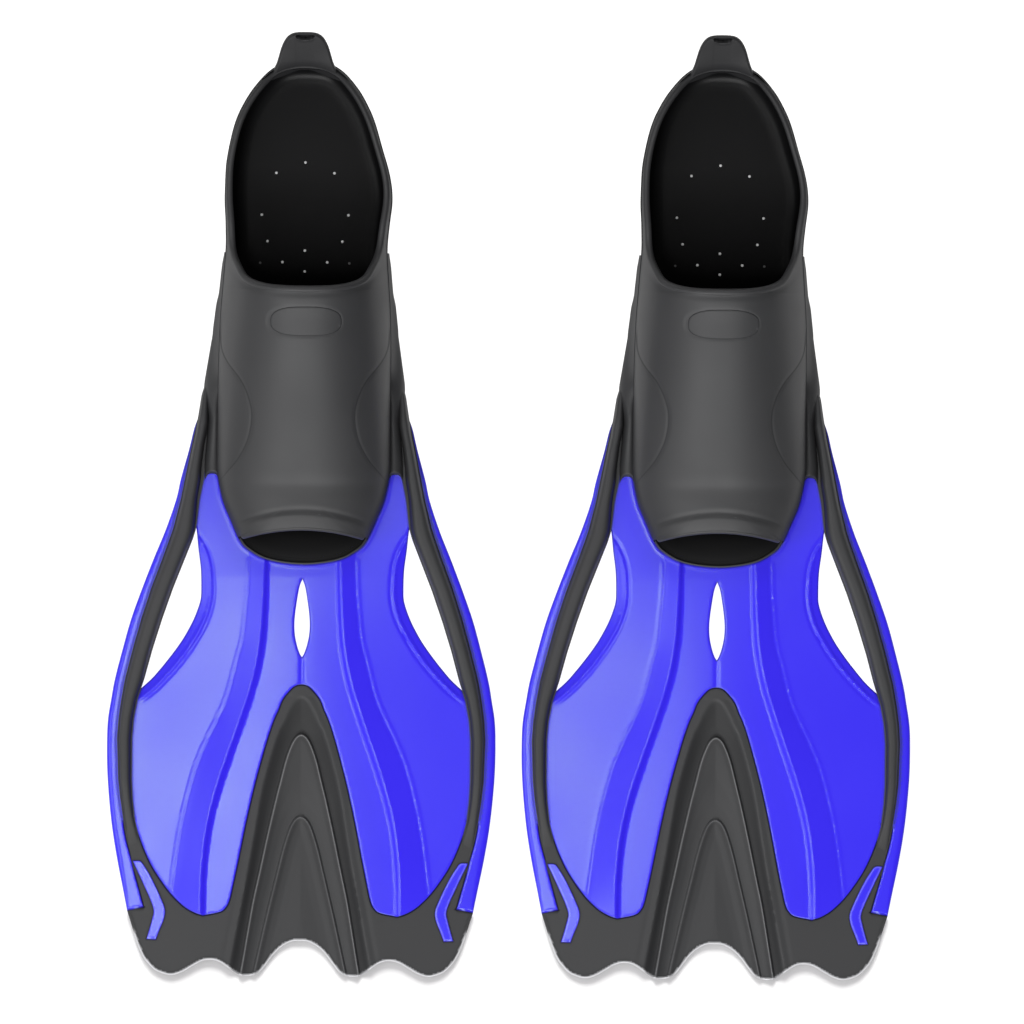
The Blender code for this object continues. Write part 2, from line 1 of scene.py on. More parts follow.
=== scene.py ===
"""A pair of swim fins lying flat: black rubber foot pockets, blue plastic blades, rubber channels.

Lengths are millimetres in one fin's own frame until MM turns them into metres: x runs across,
y from the blade's tip (negative) to the heel (positive), z up. "Right" is +x. Outlines give the
right half where the shape is mirrored about x = 0. A part is a pair (vertices, faces).
"""
import json
import math

import bmesh
import bpy
import numpy as np
from mathutils import Matrix, Vector
from mathutils.geometry import delaunay_2d_cdt
from mathutils.kdtree import KDTree


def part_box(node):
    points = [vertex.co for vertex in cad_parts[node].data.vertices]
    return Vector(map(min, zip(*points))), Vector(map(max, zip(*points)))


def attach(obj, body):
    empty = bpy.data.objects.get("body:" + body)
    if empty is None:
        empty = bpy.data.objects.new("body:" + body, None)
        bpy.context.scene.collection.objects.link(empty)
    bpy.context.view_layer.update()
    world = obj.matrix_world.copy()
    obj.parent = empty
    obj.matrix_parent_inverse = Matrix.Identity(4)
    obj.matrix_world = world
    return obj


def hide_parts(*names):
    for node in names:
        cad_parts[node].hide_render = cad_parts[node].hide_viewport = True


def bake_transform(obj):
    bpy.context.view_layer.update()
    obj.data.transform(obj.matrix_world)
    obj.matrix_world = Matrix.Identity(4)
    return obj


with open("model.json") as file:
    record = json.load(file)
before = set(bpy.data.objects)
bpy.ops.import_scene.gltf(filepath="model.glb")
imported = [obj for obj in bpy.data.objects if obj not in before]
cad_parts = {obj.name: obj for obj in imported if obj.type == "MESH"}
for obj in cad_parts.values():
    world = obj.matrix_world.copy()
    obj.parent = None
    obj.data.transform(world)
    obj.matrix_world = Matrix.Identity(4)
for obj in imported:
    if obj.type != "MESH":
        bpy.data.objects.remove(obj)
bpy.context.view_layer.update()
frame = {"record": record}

MM = 0.001
SIDES = ("left", "right")
FIN_X = {s: (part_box(s + "_outsole")[0].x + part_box(s + "_outsole")[1].x) / 2 for s in SIDES}
JOINT = {j["name"]: j for j in frame["record"]["behaviour"]["joints"]}
HINGE_Y, HINGE_Z = (JOINT["left_blade_flex"]["pos_m"][k] / MM for k in (1, 2))
TAB_Y, TAB_Z = (JOINT["left_heel_tab_flex"]["pos_m"][k] / MM for k in (1, 2))
PLATE_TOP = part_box("left_blade_root")[1].z / MM
UPPER_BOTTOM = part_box("left_foot_pocket")[0].z / MM
BED_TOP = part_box("left_footbed")[1].z / MM
SLOPE = math.tan(math.radians(1.35))   # fall of the plate towards the tip
WALL = 3.4                             # thickness of the pocket's wall
GIRTH_Z = 24.0                         # height where the pocket is widest
TRAY_Z = 15.6                          # height of the tray's edge in front of the toe opening
SPINE_TOE, SPINE_HEEL = 5.0, 205.0     # the crown's middle line runs between these y
STEP = 1.15                            # point spacing on the plate
WEB_DROP = 0.25                        # rubber web's surface below the plate's
STEEP = 1.1                            # width of a channel crest's steep side

# ---------------------------------------------------------------- design lines of one fin
# Foot pocket seen from above, heel to toe: (x, y)
POCKET = [
    (0, 247.5), (12, 246.2), (20.5, 241.8), (28.8, 232.7), (34.5, 223.5), (38.9, 213.5),
    (42.8, 199.1), (45.6, 186), (46.8, 171), (45.8, 157), (45.2, 143), (46.3, 125), (47.6, 105),
    (48.2, 80), (48.2, 50), (48.3, 30), (48, 18), (45.1, 3.1), (40.6, -8.1), (35.6, -19.3),
    (30.5, -25), (19.3, -30.6), (0, -33)]
# Height of the crown's middle line: (y, z)
CROWN = [(-40, 44), (5, 49.5), (20, 54), (60, 66), (100, 78), (124, 84), (150, 80), (171, 77),
         (205, 81), (260, 81)]
# Exponent of the crown's section, lower is squarer: (y, exponent)
SQUARE = [(-40, 0.85), (100, 0.85), (124, 0.8), (143, 0.6), (160, 0.42), (180, 0.32),
          (205, 0.3), (260, 0.32)]
# Mouth's front edge: (y, x); height of its rim further back: (y, z)
MOUTH = [(119.7, 0), (119.9, 12), (120.7, 20.5), (122.6, 28), (126, 34.2), (130.4, 38.2),
         (136, 41.2), (143, 43), (150, 44)]
RIM = [(140, 55.4), (150, 55.6), (160, 54.4), (171, 53.6), (183, 54.3), (199, 57.4),
       (215, 60.4), (232, 61.9), (262, 62.6)]
# Side rail: (y, inner x, outer x)
RAIL = [
    (46, 52.6, 59.6), (42, 53, 60.5), (31, 54, 62.8), (14.3, 55.4, 66.1), (3, 57.7, 68.3),
    (-13.7, 59.6, 72.5), (-19.3, 61.3, 74.4), (-30.5, 65.7, 78.4), (-47, 72.2, 84.5),
    (-64, 78.1, 89.9), (-81, 83.4, 94.6), (-97.7, 87.9, 98.8), (-109, 91.6, 100.8),
    (-120, 93.7, 102.3), (-131, 94.6, 103), (-154, 94.6, 102.2), (-165, 94, 101),
    (-176, 92.7, 99.3), (-187.3, 90, 97.2), (-198.5, 86.4, 94.5)]
# Outer edge of flank and plate: (y, x)
EDGE = [
    (140, 45.6), (118, 47.2), (98, 51.5), (81.5, 54), (64.7, 56.6), (48, 59.1), (42, 61.2),
    (31, 63.8), (14.3, 68.3), (3, 70.8), (-13.7, 76.4), (-30.5, 83.2), (-47.3, 89.6),
    (-64, 95.5), (-81, 100.2), (-97.7, 104.4), (-109, 106.4), (-120, 108.1), (-131.3, 108.6),
    (-148, 108.4), (-165, 107.2), (-181.7, 105.3), (-198.5, 102.5), (-215.3, 99.1),
    (-227.4, 96.7)]
# Inner side of the window between plate and rail: (x, y)
WINDOW = [
    (60.4, -12), (59.4, -13.7), (58.2, -24.9), (56.8, -36.1), (56.5, -47.3), (56.8, -52.9),
    (58.4, -58.5), (60.6, -64.1), (63.4, -69.7), (66.6, -75.3), (70.4, -80.9), (74.6, -86.5),
    (79.1, -92.1), (84, -97.7), (92, -105)]
# Plate's lobe, inner then outer side, and the edge strip's inner side: (x, y)
LOBE_IN = [
    (0, -100.3), (3.6, -101.2), (6.6, -103.9), (10.4, -108.9), (12.6, -114.5), (15.1, -120.1),
    (18.8, -131.3), (24.9, -153.7), (30, -176.1), (34.4, -198.5), (36.7, -209.7),
    (39.2, -220.9), (41.3, -225.2), (44.6, -227.8), (54.3, -229.9)]
LOBE_OUT = [
    (54.3, -229.9), (59.3, -228.2), (64.3, -225.4), (68.8, -221.6), (72.8, -217.4),
    (77.2, -211.7), (83, -202.8), (87.4, -193.6), (90.6, -185), (92.1, -180), (93.4, -175)]
STRIP_IN = [(97.4, -174.6), (98.9, -177.2), (98.8, -181), (97.2, -189), (94.7, -197.9),
            (92.8, -205.8), (90.5, -213.8), (87.3, -225.4)]
# Blade's tip: (x, y)
TIP = [
    (0, -243.6), (4.6, -243.9), (10.2, -246.9), (14.6, -251.2), (18.8, -256.8), (22.8, -261.3),
    (28.8, -263.4), (34.4, -262.5), (40.3, -258.5), (45.2, -255.4), (50.4, -254.4),
    (55.6, -255.6), (61, -258.7), (66.4, -261.7), (72.2, -263.2), (77.8, -261.8),
    (81.2, -260.1), (84.6, -256.8), (87.9, -252.3), (91.3, -244.4), (94.6, -233.8),
    (96.7, -227.4)]
# Slot in the middle of the plate: (x, y)
SLOT = [(0, -41.3), (1.6, -45.6), (2.9, -53), (3.9, -60.5), (4.3, -66.8), (3.9, -73),
        (2.6, -79), (1.1, -83.2), (0, -84.9)]
# Blue chevron in the web, closed: (x, y); its two sides meet in corners at CHEVRON_CORNER
CHEVRON = [
    (93.9, -199.4), (89.6, -199.5), (87, -202.4), (82.8, -209.4), (77.6, -220.4),
    (75.4, -226.6), (76, -232), (78.2, -237.6), (80.5, -243.6), (85.9, -243.2),
    (84.4, -238.2), (82.7, -231.8), (81.9, -227.2), (83.8, -221.2), (86.6, -215),
    (89.4, -208.9)]
CHEVRON_CORNER = 9
# Raised rib on the plate, outer and inner side: (x, y)
RIB_OUT = [(29.6, -20), (29.8, -34), (30.4, -48), (31.6, -62), (33, -75), (36, -86.5),
           (42, -109), (51, -128.5), (58, -145), (63.5, -165), (67, -181.7), (69.5, -198.5),
           (72, -218)]
RIB_IN = [(18.6, -20), (18.8, -32), (19.3, -55), (20.6, -77), (24.4, -98), (31, -119.5),
          (38.2, -140.5), (44.6, -160), (49.2, -178), (51.8, -196), (53, -214), (53.4, -236)]
# Bead beside the window: (x, y)
BEAD = [
    (65, -12.6), (62.2, -15.4), (59.4, -18.4), (56.5, -22.4), (54, -28), (52.3, -34.5),
    (51.6, -42.4), (51.5, -50.5), (52.8, -58), (55, -64.5), (58, -70.6), (61.6, -76.6),
    (65.6, -82.6), (70, -88.4), (75, -94.2), (80.4, -99.8), (86, -105), (91, -109)]
# The channel's lip and its two crests: (x, y)
LIP_LINE = [(0, -106.6), (3.4, -108.6), (6.4, -113.4), (9.6, -120.5), (14, -130.5),
            (21.2, -157), (25.6, -183), (30.2, -209.7), (38.8, -255.6), (41, -268)]
CREST_1 = [(0, -128.4), (2.8, -130), (5.4, -134.5), (8.4, -143), (11.4, -155), (13.9, -165),
           (18.3, -184.5), (22.6, -205), (26.4, -223), (30.6, -248), (33.6, -266)]
CREST_2 = [(0, -174.4), (3, -176), (5.8, -181), (9.3, -192), (13.2, -208), (18.9, -232),
           (25.5, -262), (26.4, -268)]
# Badge on the instep: centre, half sizes and the exponent of its rounded outline
BADGE_X, BADGE_Y, BADGE_HALF_X, BADGE_HALF_Y, BADGE_POWER = 0.9, 102.0, 19.9, 8.1, 2.7
# Groove round the side patch of the pocket: (x, y)
SIDE_PATCH = [(46.7, 106), (47, 96), (46.2, 87), (42.6, 79.2), (35.2, 69.6), (30.6, 60),
              (28.6, 49.5), (30.6, 37), (36, 26), (43.4, 17), (50, 9)]
# Sway of the pocket towards +x: (y, shift)
LEAN = [
    (-40, 0.2), (-12, 0.4), (20, 0.3), (60, 0.3), (85, 0.6), (103, 0.8), (140, 1), (154, 1.5),
    (166, 2.1), (177.6, 2.2), (186, 1.4), (193, 0.6), (201, 0.2), (209, 0), (217, 0),
    (225, 0.1), (233, 0.3), (242, 0.4), (250, 0.4)]
# Vent holes in the footbed, pale painted-light dots and a dim painted-shade dot: (x, y)
VENTS = [(0, 191.4), (16.2, 185.5), (24.2, 162.1), (20.9, 147.3), (0, 142.2), (12.5, 135.7),
         (0, 130.5)]
DIM_VENTS = [(24.9, 135.2)]
# Heel tab, end to root: (x, distance out from the joint)
TONGUE = [(0, 21), (3.6, 20.9), (6.4, 20.4), (8.6, 19.2), (10.4, 17.2), (11.9, 14.4),
          (13.3, 10.6), (14.7, 6.2), (16.2, 2.4), (18.6, -1.6), (22, -5.2), (24.5, -8.5)]


# ---------------------------------------------------------------- plane geometry
def spline(points, per=8):
    """Catmull-Rom curve through open control points."""
    p = np.array(points, float)
    p = np.vstack([2 * p[0] - p[1], p, 2 * p[-1] - p[-2]])
    out = []
    for i in range(1, len(p) - 2):
        a, b, c, d = p[i - 1:i + 3]
        for k in range(per):
            t = k / per
            out.append(0.5 * (2 * b + (c - a) * t + (2 * a - 5 * b + 4 * c - d) * t * t
                              + (3 * b - a - 3 * c + d) * t ** 3))
    out.append(p[-2])
    return np.array(out)


def across(points, per=8, at_start=True, at_end=True):
    """Spline of a right half whose marked ends lie on the middle line, level there."""
    p = [tuple(q) for q in points]
    if at_start:
        p = [(-p[1][0], p[1][1])] + p
    if at_end:
        p = p + [(-p[-2][0], p[-2][1])]
    curve = spline(p, per)
    return curve[per * at_start:len(curve) - per * at_end]


def arc_length(p):
    return np.concatenate([[0], np.cumsum(np.linalg.norm(np.diff(p, axis=0), axis=1))])


def even(points, step):
    """The polyline with its points spaced evenly, ends kept."""
    p = np.asarray(points, float)
    s = arc_length(p)
    count = max(2, int(round(s[-1] / step)) + 1)
    q = np.linspace(0, s[-1], count)
    return np.column_stack([np.interp(q, s, p[:, k]) for k in range(p.shape[1])])


def flip(points):
    p = np.array(points, float)
    p[:, 0] *= -1
    return p


def loop_of(half):
    """Closed loop from a right half that starts and ends on the middle line."""
    return np.vstack([half, flip(half[1:-1])[::-1]])


def line_of(half):
    """Open line from a right half that starts on the middle line."""
    return np.vstack([flip(half[1:])[::-1], half])


def folded(points):
    """The points with the left half laid over the right."""
    p = points.copy()
    p[:, 0] = np.abs(p[:, 0])
    return p


def tangents(points, closed=False):
    if closed:
        t = np.roll(points, -1, axis=0) - np.roll(points, 1, axis=0)
    else:
        t = np.gradient(points, axis=0)
    return t / np.maximum(np.linalg.norm(t, axis=1), 1e-9)[:, None]


def left_normals(points, closed=False):
    t = tangents(points, closed)
    return np.column_stack([-t[:, 1], t[:, 0]])


def shifted(line, amount):
    """The line moved to its left."""
    return line + left_normals(line) * amount


def at_y(rows, y, column=1):
    """A column of a table of stations, interpolated at y."""
    r = sorted(rows)
    return np.interp(y, [a[0] for a in r], [a[column] for a in r])


def smoothstep(t):
    t = np.clip(t, 0, 1)
    return t * t * (3 - 2 * t)


def bell(d, width, at=0):
    """Smooth bump of height 1 over the distance d, centred on at."""
    return np.exp(-((d - at) / width) ** 2)


def leaned(points):
    """The pocket follows a foot, so its side line sways a little from the middle."""
    p = np.array(points, float)
    y = np.arange(-90, 300, 1.0)
    kernel = bell(np.arange(-24, 25), 8.0)
    x = np.convolve(np.pad(at_y(LEAN, y), 24, mode="edge"), kernel / kernel.sum(), "valid")
    p[:, 0] += np.interp(p[:, 1], y, x)
    return p


def segments(loops):
    return np.vstack(loops), np.vstack([np.roll(l, -1, axis=0) for l in loops])


def inside(p, loops):
    """Even-odd test of points against closed loops."""
    hit = np.zeros(len(p), bool)
    order = np.argsort(p[:, 1], kind="stable")
    a, b = segments(loops)
    low, high = np.minimum(a[:, 1], b[:, 1]), np.maximum(a[:, 1], b[:, 1])
    for i in range(0, len(p), 400):
        idx = order[i:i + 400]
        q = p[idx]
        use = (high >= q[0, 1]) & (low <= q[-1, 1])
        c, d = a[use], b[use]
        y = q[:, 1:2]
        cross = (c[:, 1] > y) != (d[:, 1] > y)
        with np.errstate(divide="ignore", invalid="ignore"):
            x = c[:, 0] + (y - c[:, 1]) * (d[:, 0] - c[:, 0]) / (d[:, 1] - c[:, 1])
        hit[idx] = (np.sum(cross & (q[:, 0:1] < x), axis=1) % 2).astype(bool)
    return hit


def distance(p, a, b, signed=False):
    """Distance of points to the nearest segment a-b; signed is positive on a segment's left."""
    ab = b - a
    length = np.linalg.norm(ab, axis=1)
    samples, owner = [], []
    for i in range(len(a)):
        n = max(1, int(length[i] / 0.5))
        for k in range(n):
            samples.append(a[i] + ab[i] * ((k + 0.5) / n))
            owner.append(i)
    tree = KDTree(len(samples))
    for i, q in enumerate(samples):
        tree.insert((q[0], q[1], 0.0), i)
    tree.balance()
    near = np.array([owner[tree.find((x, y, 0.0))[1]] for x, y in p.tolist()], int)
    best = np.full(len(p), np.inf)
    sign = np.ones(len(p))
    for step in (0, -1, 1):
        j = np.clip(near + step, 0, len(a) - 1)
        t = np.clip(((p - a[j]) * ab[j]).sum(1) / np.maximum(length[j] ** 2, 1e-12), 0, 1)
        d = p - (a[j] + t[:, None] * ab[j])
        m = np.sqrt((d ** 2).sum(1))
        better = m < best - 1e-9
        best = np.where(better, m, best)
        turn = ab[j, 0] * d[:, 1] - ab[j, 1] * d[:, 0]
        sign = np.where(better, np.where(turn >= 0, 1, -1), sign)
    return best * sign if signed else best


def to_line(p, line, signed=False):
    line = np.asarray(line, float)
    return distance(p, line[:-1], line[1:], signed)


def to_loops(p, loops):
    return distance(p, *segments(loops))


def outside(p, loop):
    """Distance to the loop, negative inside it."""
    return to_loops(p, [loop]) * np.where(inside(p, [loop]), -1, 1)


def inner_runs(line, loops):
    """Stretches of the line that lie well inside the loops."""
    ok = inside(line, loops) & (to_loops(line, loops) > 0.45)
    runs = np.split(np.arange(len(line)), np.flatnonzero(np.diff(ok)) + 1)
    return [line[r] for r in runs if ok[r[0]] and len(r) > 1]


def plan(loops, lines, step, radius):
    """Mesh of the area inside the loops: (points, triangles, distance to the edge).

    Rows of points follow the edges, for a rounding of the given radius, and the lines.
    """
    pts, edges = [], []

    def add(poly, closed):
        s, n = len(pts), len(poly)
        pts.extend(map(tuple, poly))
        edges.extend((s + i, s + i + 1) for i in range(n - 1))
        if closed:
            edges.append((s + n - 1, s))

    for l in loops:
        add(l, True)
    kept = [run for line in lines for run in inner_runs(even(line, step), loops)]
    for line in kept:
        add(line, False)
    clouds = []
    for l in loops:
        normals = left_normals(l, closed=True)
        for r in [radius * k for k in (0.1, 0.32, 0.62, 1.0)]:
            clouds += [(l + normals * r * s, r) for s in (1, -1)]
    lo, hi = np.min(np.vstack(loops), axis=0), np.max(np.vstack(loops), axis=0)
    grid = []
    for i, y in enumerate(np.arange(lo[1], hi[1], step * 0.866)):
        xs = np.arange(lo[0] + (i % 2) * step / 2, hi[0], step)
        grid.append(np.column_stack([xs, np.full(len(xs), y)]))
    for cloud, r in clouds + [(np.vstack(grid), radius + 0.45 * step)]:
        cloud = cloud[inside(cloud, loops)]
        if not len(cloud):
            continue
        cloud = cloud[to_loops(cloud, loops) > r * 0.9]
        if kept and len(cloud):
            a = np.vstack([l[:-1] for l in kept])
            b = np.vstack([l[1:] for l in kept])
            cloud = cloud[distance(cloud, a, b) > 0.45 * step]
        pts.extend(map(tuple, cloud))
    co, _, faces, _, _, _ = delaunay_2d_cdt([Vector(p) for p in pts], edges, [], 0, 1e-4)
    v = np.array([tuple(c) for c in co])
    f = np.array([t for t in faces if len(t) == 3])
    f = f[inside(v[f].mean(1), loops)]
    used = np.unique(f)
    index = np.full(len(v), -1)
    index[used] = np.arange(len(used))
    v, f = v[used], index[f]
    side_1, side_2 = v[f[:, 1]] - v[f[:, 0]], v[f[:, 2]] - v[f[:, 0]]
    area = side_1[:, 0] * side_2[:, 1] - side_2[:, 0] * side_1[:, 1]
    f[area < 0] = f[area < 0][:, ::-1]
    return v, f, to_loops(v, loops)


# ---------------------------------------------------------------- parts
def rounding(d, r):
    """How far a rounded edge of radius r has dropped at distance d from the outline."""
    k = np.clip(r - d, 0, r)
    return r - np.sqrt(np.maximum(r * r - k * k, 0))


def sheet(v, f, top, bottom):
    """Closed body between two height fields over one plan mesh."""
    n = len(v)
    co = np.vstack([np.column_stack([v, top]), np.column_stack([v, bottom])])
    e = np.vstack([f[:, [0, 1]], f[:, [1, 2]], f[:, [2, 0]]])
    _, idx, count = np.unique(np.sort(e, axis=1), axis=0, return_index=True, return_counts=True)
    rim = e[idx[count == 1]]
    walls = np.column_stack([rim[:, 1], rim[:, 0], rim[:, 0] + n, rim[:, 1] + n])
    return co, [tuple(t) for g in (f, f[:, ::-1] + n, walls) for t in g]


def tube(path, radius, sides, closed=False):
    """A rounded cord along a path of 3-D points."""
    n = len(path)
    t = tangents(path, closed)
    a = np.cross(t, np.tile([0, 0, 1.0], (n, 1)))
    a /= np.maximum(np.linalg.norm(a, axis=1), 1e-9)[:, None]
    b = np.cross(a, t)
    r = np.broadcast_to(np.asarray(radius, float), (n,))[:, None, None]
    ang = np.linspace(0, 2 * np.pi, sides, endpoint=False)
    circle = (np.cos(ang)[None, :, None] * a[:, None, :]
              + np.sin(ang)[None, :, None] * b[:, None, :])
    co = (path[:, None, :] + r * circle).reshape(-1, 3)
    faces = []
    for i in range(n if closed else n - 1):
        j = (i + 1) % n
        for k in range(sides):
            m = (k + 1) % sides
            faces.append((i * sides + k, j * sides + k, j * sides + m, i * sides + m))
    if not closed:
        faces.append(tuple(range(sides)))
        faces.append(tuple((n - 1) * sides + k for k in reversed(range(sides))))
    return co, faces


def strip(rings, closed=False):
    """Quads through a grid of rings x points."""
    r = np.asarray(rings, float)
    n, m = r.shape[:2]
    faces = []
    for i in range(n - 1):
        for k in range(m if closed else m - 1):
            q = (k + 1) % m
            faces.append((i * m + k, (i + 1) * m + k, (i + 1) * m + q, i * m + q))
    return r.reshape(-1, 3), faces


def capped(rings, last=True):
    """Closed rings joined up, with a cap on the first and, if asked, the last."""
    co, faces = strip(rings, closed=True)
    n, m = rings.shape[:2]
    faces.append(tuple(range(m))[::-1])
    if last:
        faces.append(tuple((n - 1) * m + k for k in range(m)))
    return co, faces


def merged(parts):
    co, faces, n = [], [], 0
    for c, f in parts:
        co.append(np.asarray(c))
        faces.extend(tuple(i + n for i in t) for t in f)
        n += len(c)
    return np.vstack(co), faces


def mirror(part):
    return flip(part[0]), [tuple(reversed(t)) for t in part[1]]


def both(part):
    """The part and its mirror image."""
    return merged([part, mirror(part)])


def build(name, part, mat, weld=0.0, sharp=50, outward=True, marks=None):
    """One mesh for the piece and one object for each fin; marks are point attributes."""
    mesh = bpy.data.meshes.new(name)
    mesh.from_pydata((np.asarray(part[0]) * MM).tolist(), [], part[1])
    for key, values in (marks or {}).items():
        data = mesh.attributes.new(key, "FLOAT", "POINT").data
        data.foreach_set("value", np.asarray(values, np.float32))
    bm = bmesh.new()
    bm.from_mesh(mesh)
    if weld:
        bmesh.ops.remove_doubles(bm, verts=bm.verts, dist=weld * MM)
    bmesh.ops.dissolve_degenerate(bm, edges=bm.edges, dist=1e-7)
    if outward:
        bmesh.ops.recalc_face_normals(bm, faces=bm.faces)
    bm.to_mesh(mesh)
    bm.free()
    mesh.materials.append(mat)
    mesh.shade_smooth()
    mesh.set_sharp_from_angle(angle=math.radians(sharp))
    out = {}
    for s in SIDES:
        own = mesh.copy()
        own.transform(Matrix.Translation((FIN_X[s], 0, 0)))
        out[s] = bpy.data.objects.new(s + "_" + name, own)
        bpy.context.scene.collection.objects.link(out[s])
    bpy.data.meshes.remove(mesh)
    return out


# ---------------------------------------------------------------- materials
def node(tree, kind, inputs=None, out=0, **props):
    """Add a shader node, set or link its inputs, and return one of its outputs."""
    n = tree.nodes.new("ShaderNode" + kind)
    for k, v in props.items():
        setattr(n, k, v)
    for k, v in (inputs or {}).items():
        if hasattr(v, "is_output"):
            tree.links.new(v, n.inputs[k])
        else:
            n.inputs[k].default_value = v
    return n.outputs[out]


def maths(tree, op, a, b):
    return node(tree, "Math", {0: a, 1: b}, operation=op)


def mixed(tree, a, b, factor):
    """Mix two colours, each a tuple or a socket."""
    a, b = ((*c, 1) if isinstance(c, tuple) else c for c in (a, b))
    return node(tree, "Mix", {0: factor, 6: a, 7: b}, out=2, data_type="RGBA")


def remap(tree, value, source, target):
    return node(tree, "MapRange", {"Value": value, "From Min": source[0], "From Max": source[1],
                                   "To Min": target[0], "To Max": target[1]})


def new_material(name):
    m = bpy.data.materials.new(name)
    m.use_nodes = True
    return m, m.node_tree, m.node_tree.nodes["Principled BSDF"].inputs


def moulded(name, base, light, dark, rough, rough_spread, grain_scale, grain, specular=0.5,
            wear=0.35, tint=(1, 1, 1), painted_shade_colour=(0.01, 0.01, 0.012), deep=(),
            pale=(0.5, 0.5, 0.51), dull=None):
    """Moulded rubber or plastic: mottled colour, uneven gloss, fine grain, faint flow waves.

    Worn edges turn light. The "rim" attribute paints pale lines, painted highlights on bevels and
    crests. The edge attribute and the grooves paint shade in the shade colour. deep holds (y low,
    y high, colour) in metres, the colour reached below y low, for painted shade and painted light
    along y; dull is (y from, y to, factor), which fades the sheen from y to down to the factor at
    y from.
    """
    m, tree, surface = new_material(name)
    pos = node(tree, "TexCoord", out="Object")

    def attribute(key):
        return node(tree, "Attribute", out="Fac", attribute_name=key)

    cloud = node(tree, "TexNoise", {"Vector": pos, "Scale": 22.0, "Detail": 4.0,
                                    "Roughness": 0.55}, out="Fac")
    fine = node(tree, "TexNoise", {"Vector": pos, "Scale": grain_scale, "Detail": 3.0,
                                   "Roughness": 0.6}, out="Fac")
    colour = mixed(tree, dark, base, cloud)
    if deep:
        y = node(tree, "SeparateXYZ", {0: pos}, out="Y")
        # painted shade and painted light: the colour changes along y as the light falls on the
        # pocket
        for low, high, shade in deep:
            colour = mixed(tree, colour, shade, remap(tree, y, (low, high), (1.0, 0.0)))
    pointiness = node(tree, "NewGeometry", out="Pointiness")
    colour = mixed(tree, colour, light, remap(tree, pointiness, (0.53, 0.62), (0.0, wear)))

    # Painted shade: the edges marked by attribute, and grooves darkened around distance 0, as if
    # shade lay in them.
    near = attribute("painted_edge_shade")
    grooves = []
    for k in ("a", "b"):
        d = attribute("groove_" + k)
        dark_line = maths(tree, "POWER", 0.05, maths(tree, "MULTIPLY", d, d))
        grooves.append(maths(tree, "MULTIPLY", dark_line, attribute("groove_on_" + k)))
    groove = maths(tree, "MAXIMUM", *grooves)
    # painted highlight: the "rim" attribute mixes thin lines towards the pale colour, on bevels
    # and crests
    pale_lined = mixed(tree, colour, pale, attribute("rim"))
    shade_mask = maths(tree, "ADD", maths(tree, "MULTIPLY", near, 0.92),
                 maths(tree, "MULTIPLY", groove, 0.7))
    shade_mask = maths(tree, "MINIMUM", shade_mask, 1.0)
    tree.links.new(mixed(tree, pale_lined, painted_shade_colour, shade_mask), surface["Base Color"])

    gloss = remap(tree, cloud, (0.3, 0.7), (rough - rough_spread, rough + rough_spread))
    rougher = maths(tree, "ADD", gloss, maths(tree, "MULTIPLY", shade_mask, 0.3))
    tree.links.new(rougher, surface["Roughness"])
    surface["Specular IOR Level"].default_value = specular
    if dull:
        facing = node(tree, "LayerWeight", out="Facing")
        sheen = remap(tree, facing, (0.45, 0.92), (specular, 0.0))
        y = node(tree, "SeparateXYZ", {0: pos}, out="Y")
        sheen = maths(tree, "MULTIPLY", sheen, remap(tree, y, dull[:2], (dull[2], 1.0)))
        tree.links.new(sheen, surface["Specular IOR Level"])
    surface["Specular Tint"].default_value = (*tint, 1)
    waves = node(tree, "Bump", {"Height": cloud, "Strength": 0.10, "Distance": 0.0006},
                 out="Normal")
    bump = node(tree, "Bump", {"Height": fine, "Strength": grain, "Distance": 0.0002,
                               "Normal": waves}, out="Normal")
    tree.links.new(bump, surface["Normal"])
    return m


# Rubber: painted shade, darker from the instep back to the heel.
RUBBER = moulded(
    "black_rubber_satin", base=(0.034, 0.034, 0.0358), light=(0.075, 0.075, 0.08),
    dark=(0.029, 0.0295, 0.031), rough=0.50, rough_spread=0.04, grain_scale=1500.0, grain=0.14,
    wear=0.5, specular=0.34, painted_shade_colour=(0.005, 0.005, 0.006),
    deep=((0.215, 0.10, (0.022, 0.022, 0.0232)),), pale=(0.62, 0.62, 0.64),
    dull=(0.245, 0.205, 0.4))
# Lining: painted shade, darker under the instep towards the toe, and painted light on the part
# seen through the toe opening.
LINING = moulded(
    "black_rubber_lining", base=(0.0056, 0.0056, 0.006), light=(0.02, 0.02, 0.02),
    dark=(0.0040, 0.0040, 0.0044), rough=0.36, rough_spread=0.04, grain_scale=1100.0,
    grain=0.12, wear=0.3, specular=0.12,
    deep=((0.115, 0.19, (0.0008, 0.0008, 0.0009)), (-0.030, -0.012, (0.017, 0.017, 0.0175))),
    dull=(0.125, 0.19, 0.12))
BLUE = moulded(
    "blue_plastic_gloss", base=(0.039, 0.020, 0.86), light=(0.10, 0.09, 0.93),
    dark=(0.034, 0.017, 0.82), rough=0.23, rough_spread=0.015, grain_scale=2200.0, grain=0.03,
    wear=0.25, tint=(0.82, 1.0, 0.08), painted_shade_colour=(0.006, 0.004, 0.10), pale=(0.26, 0.26, 0.95))
# Vent dots: the pale ones are painted light, the lit floor seen through the holes; the dim one is
# painted shade.
VENT_PAINTED_LIGHT, VENT_PAINTED_SHADE = (
    moulded(name, base=(base,) * 3, light=(light,) * 3, dark=(dark,) * 3, rough=0.5,
            rough_spread=0.05, grain_scale=900.0, grain=0.1)
    for name, base, light, dark in (("vent_hole_painted_floor_light", 0.80, 0.88, 0.7),
                                    ("vent_hole_painted_shade", 0.07, 0.09, 0.06)))


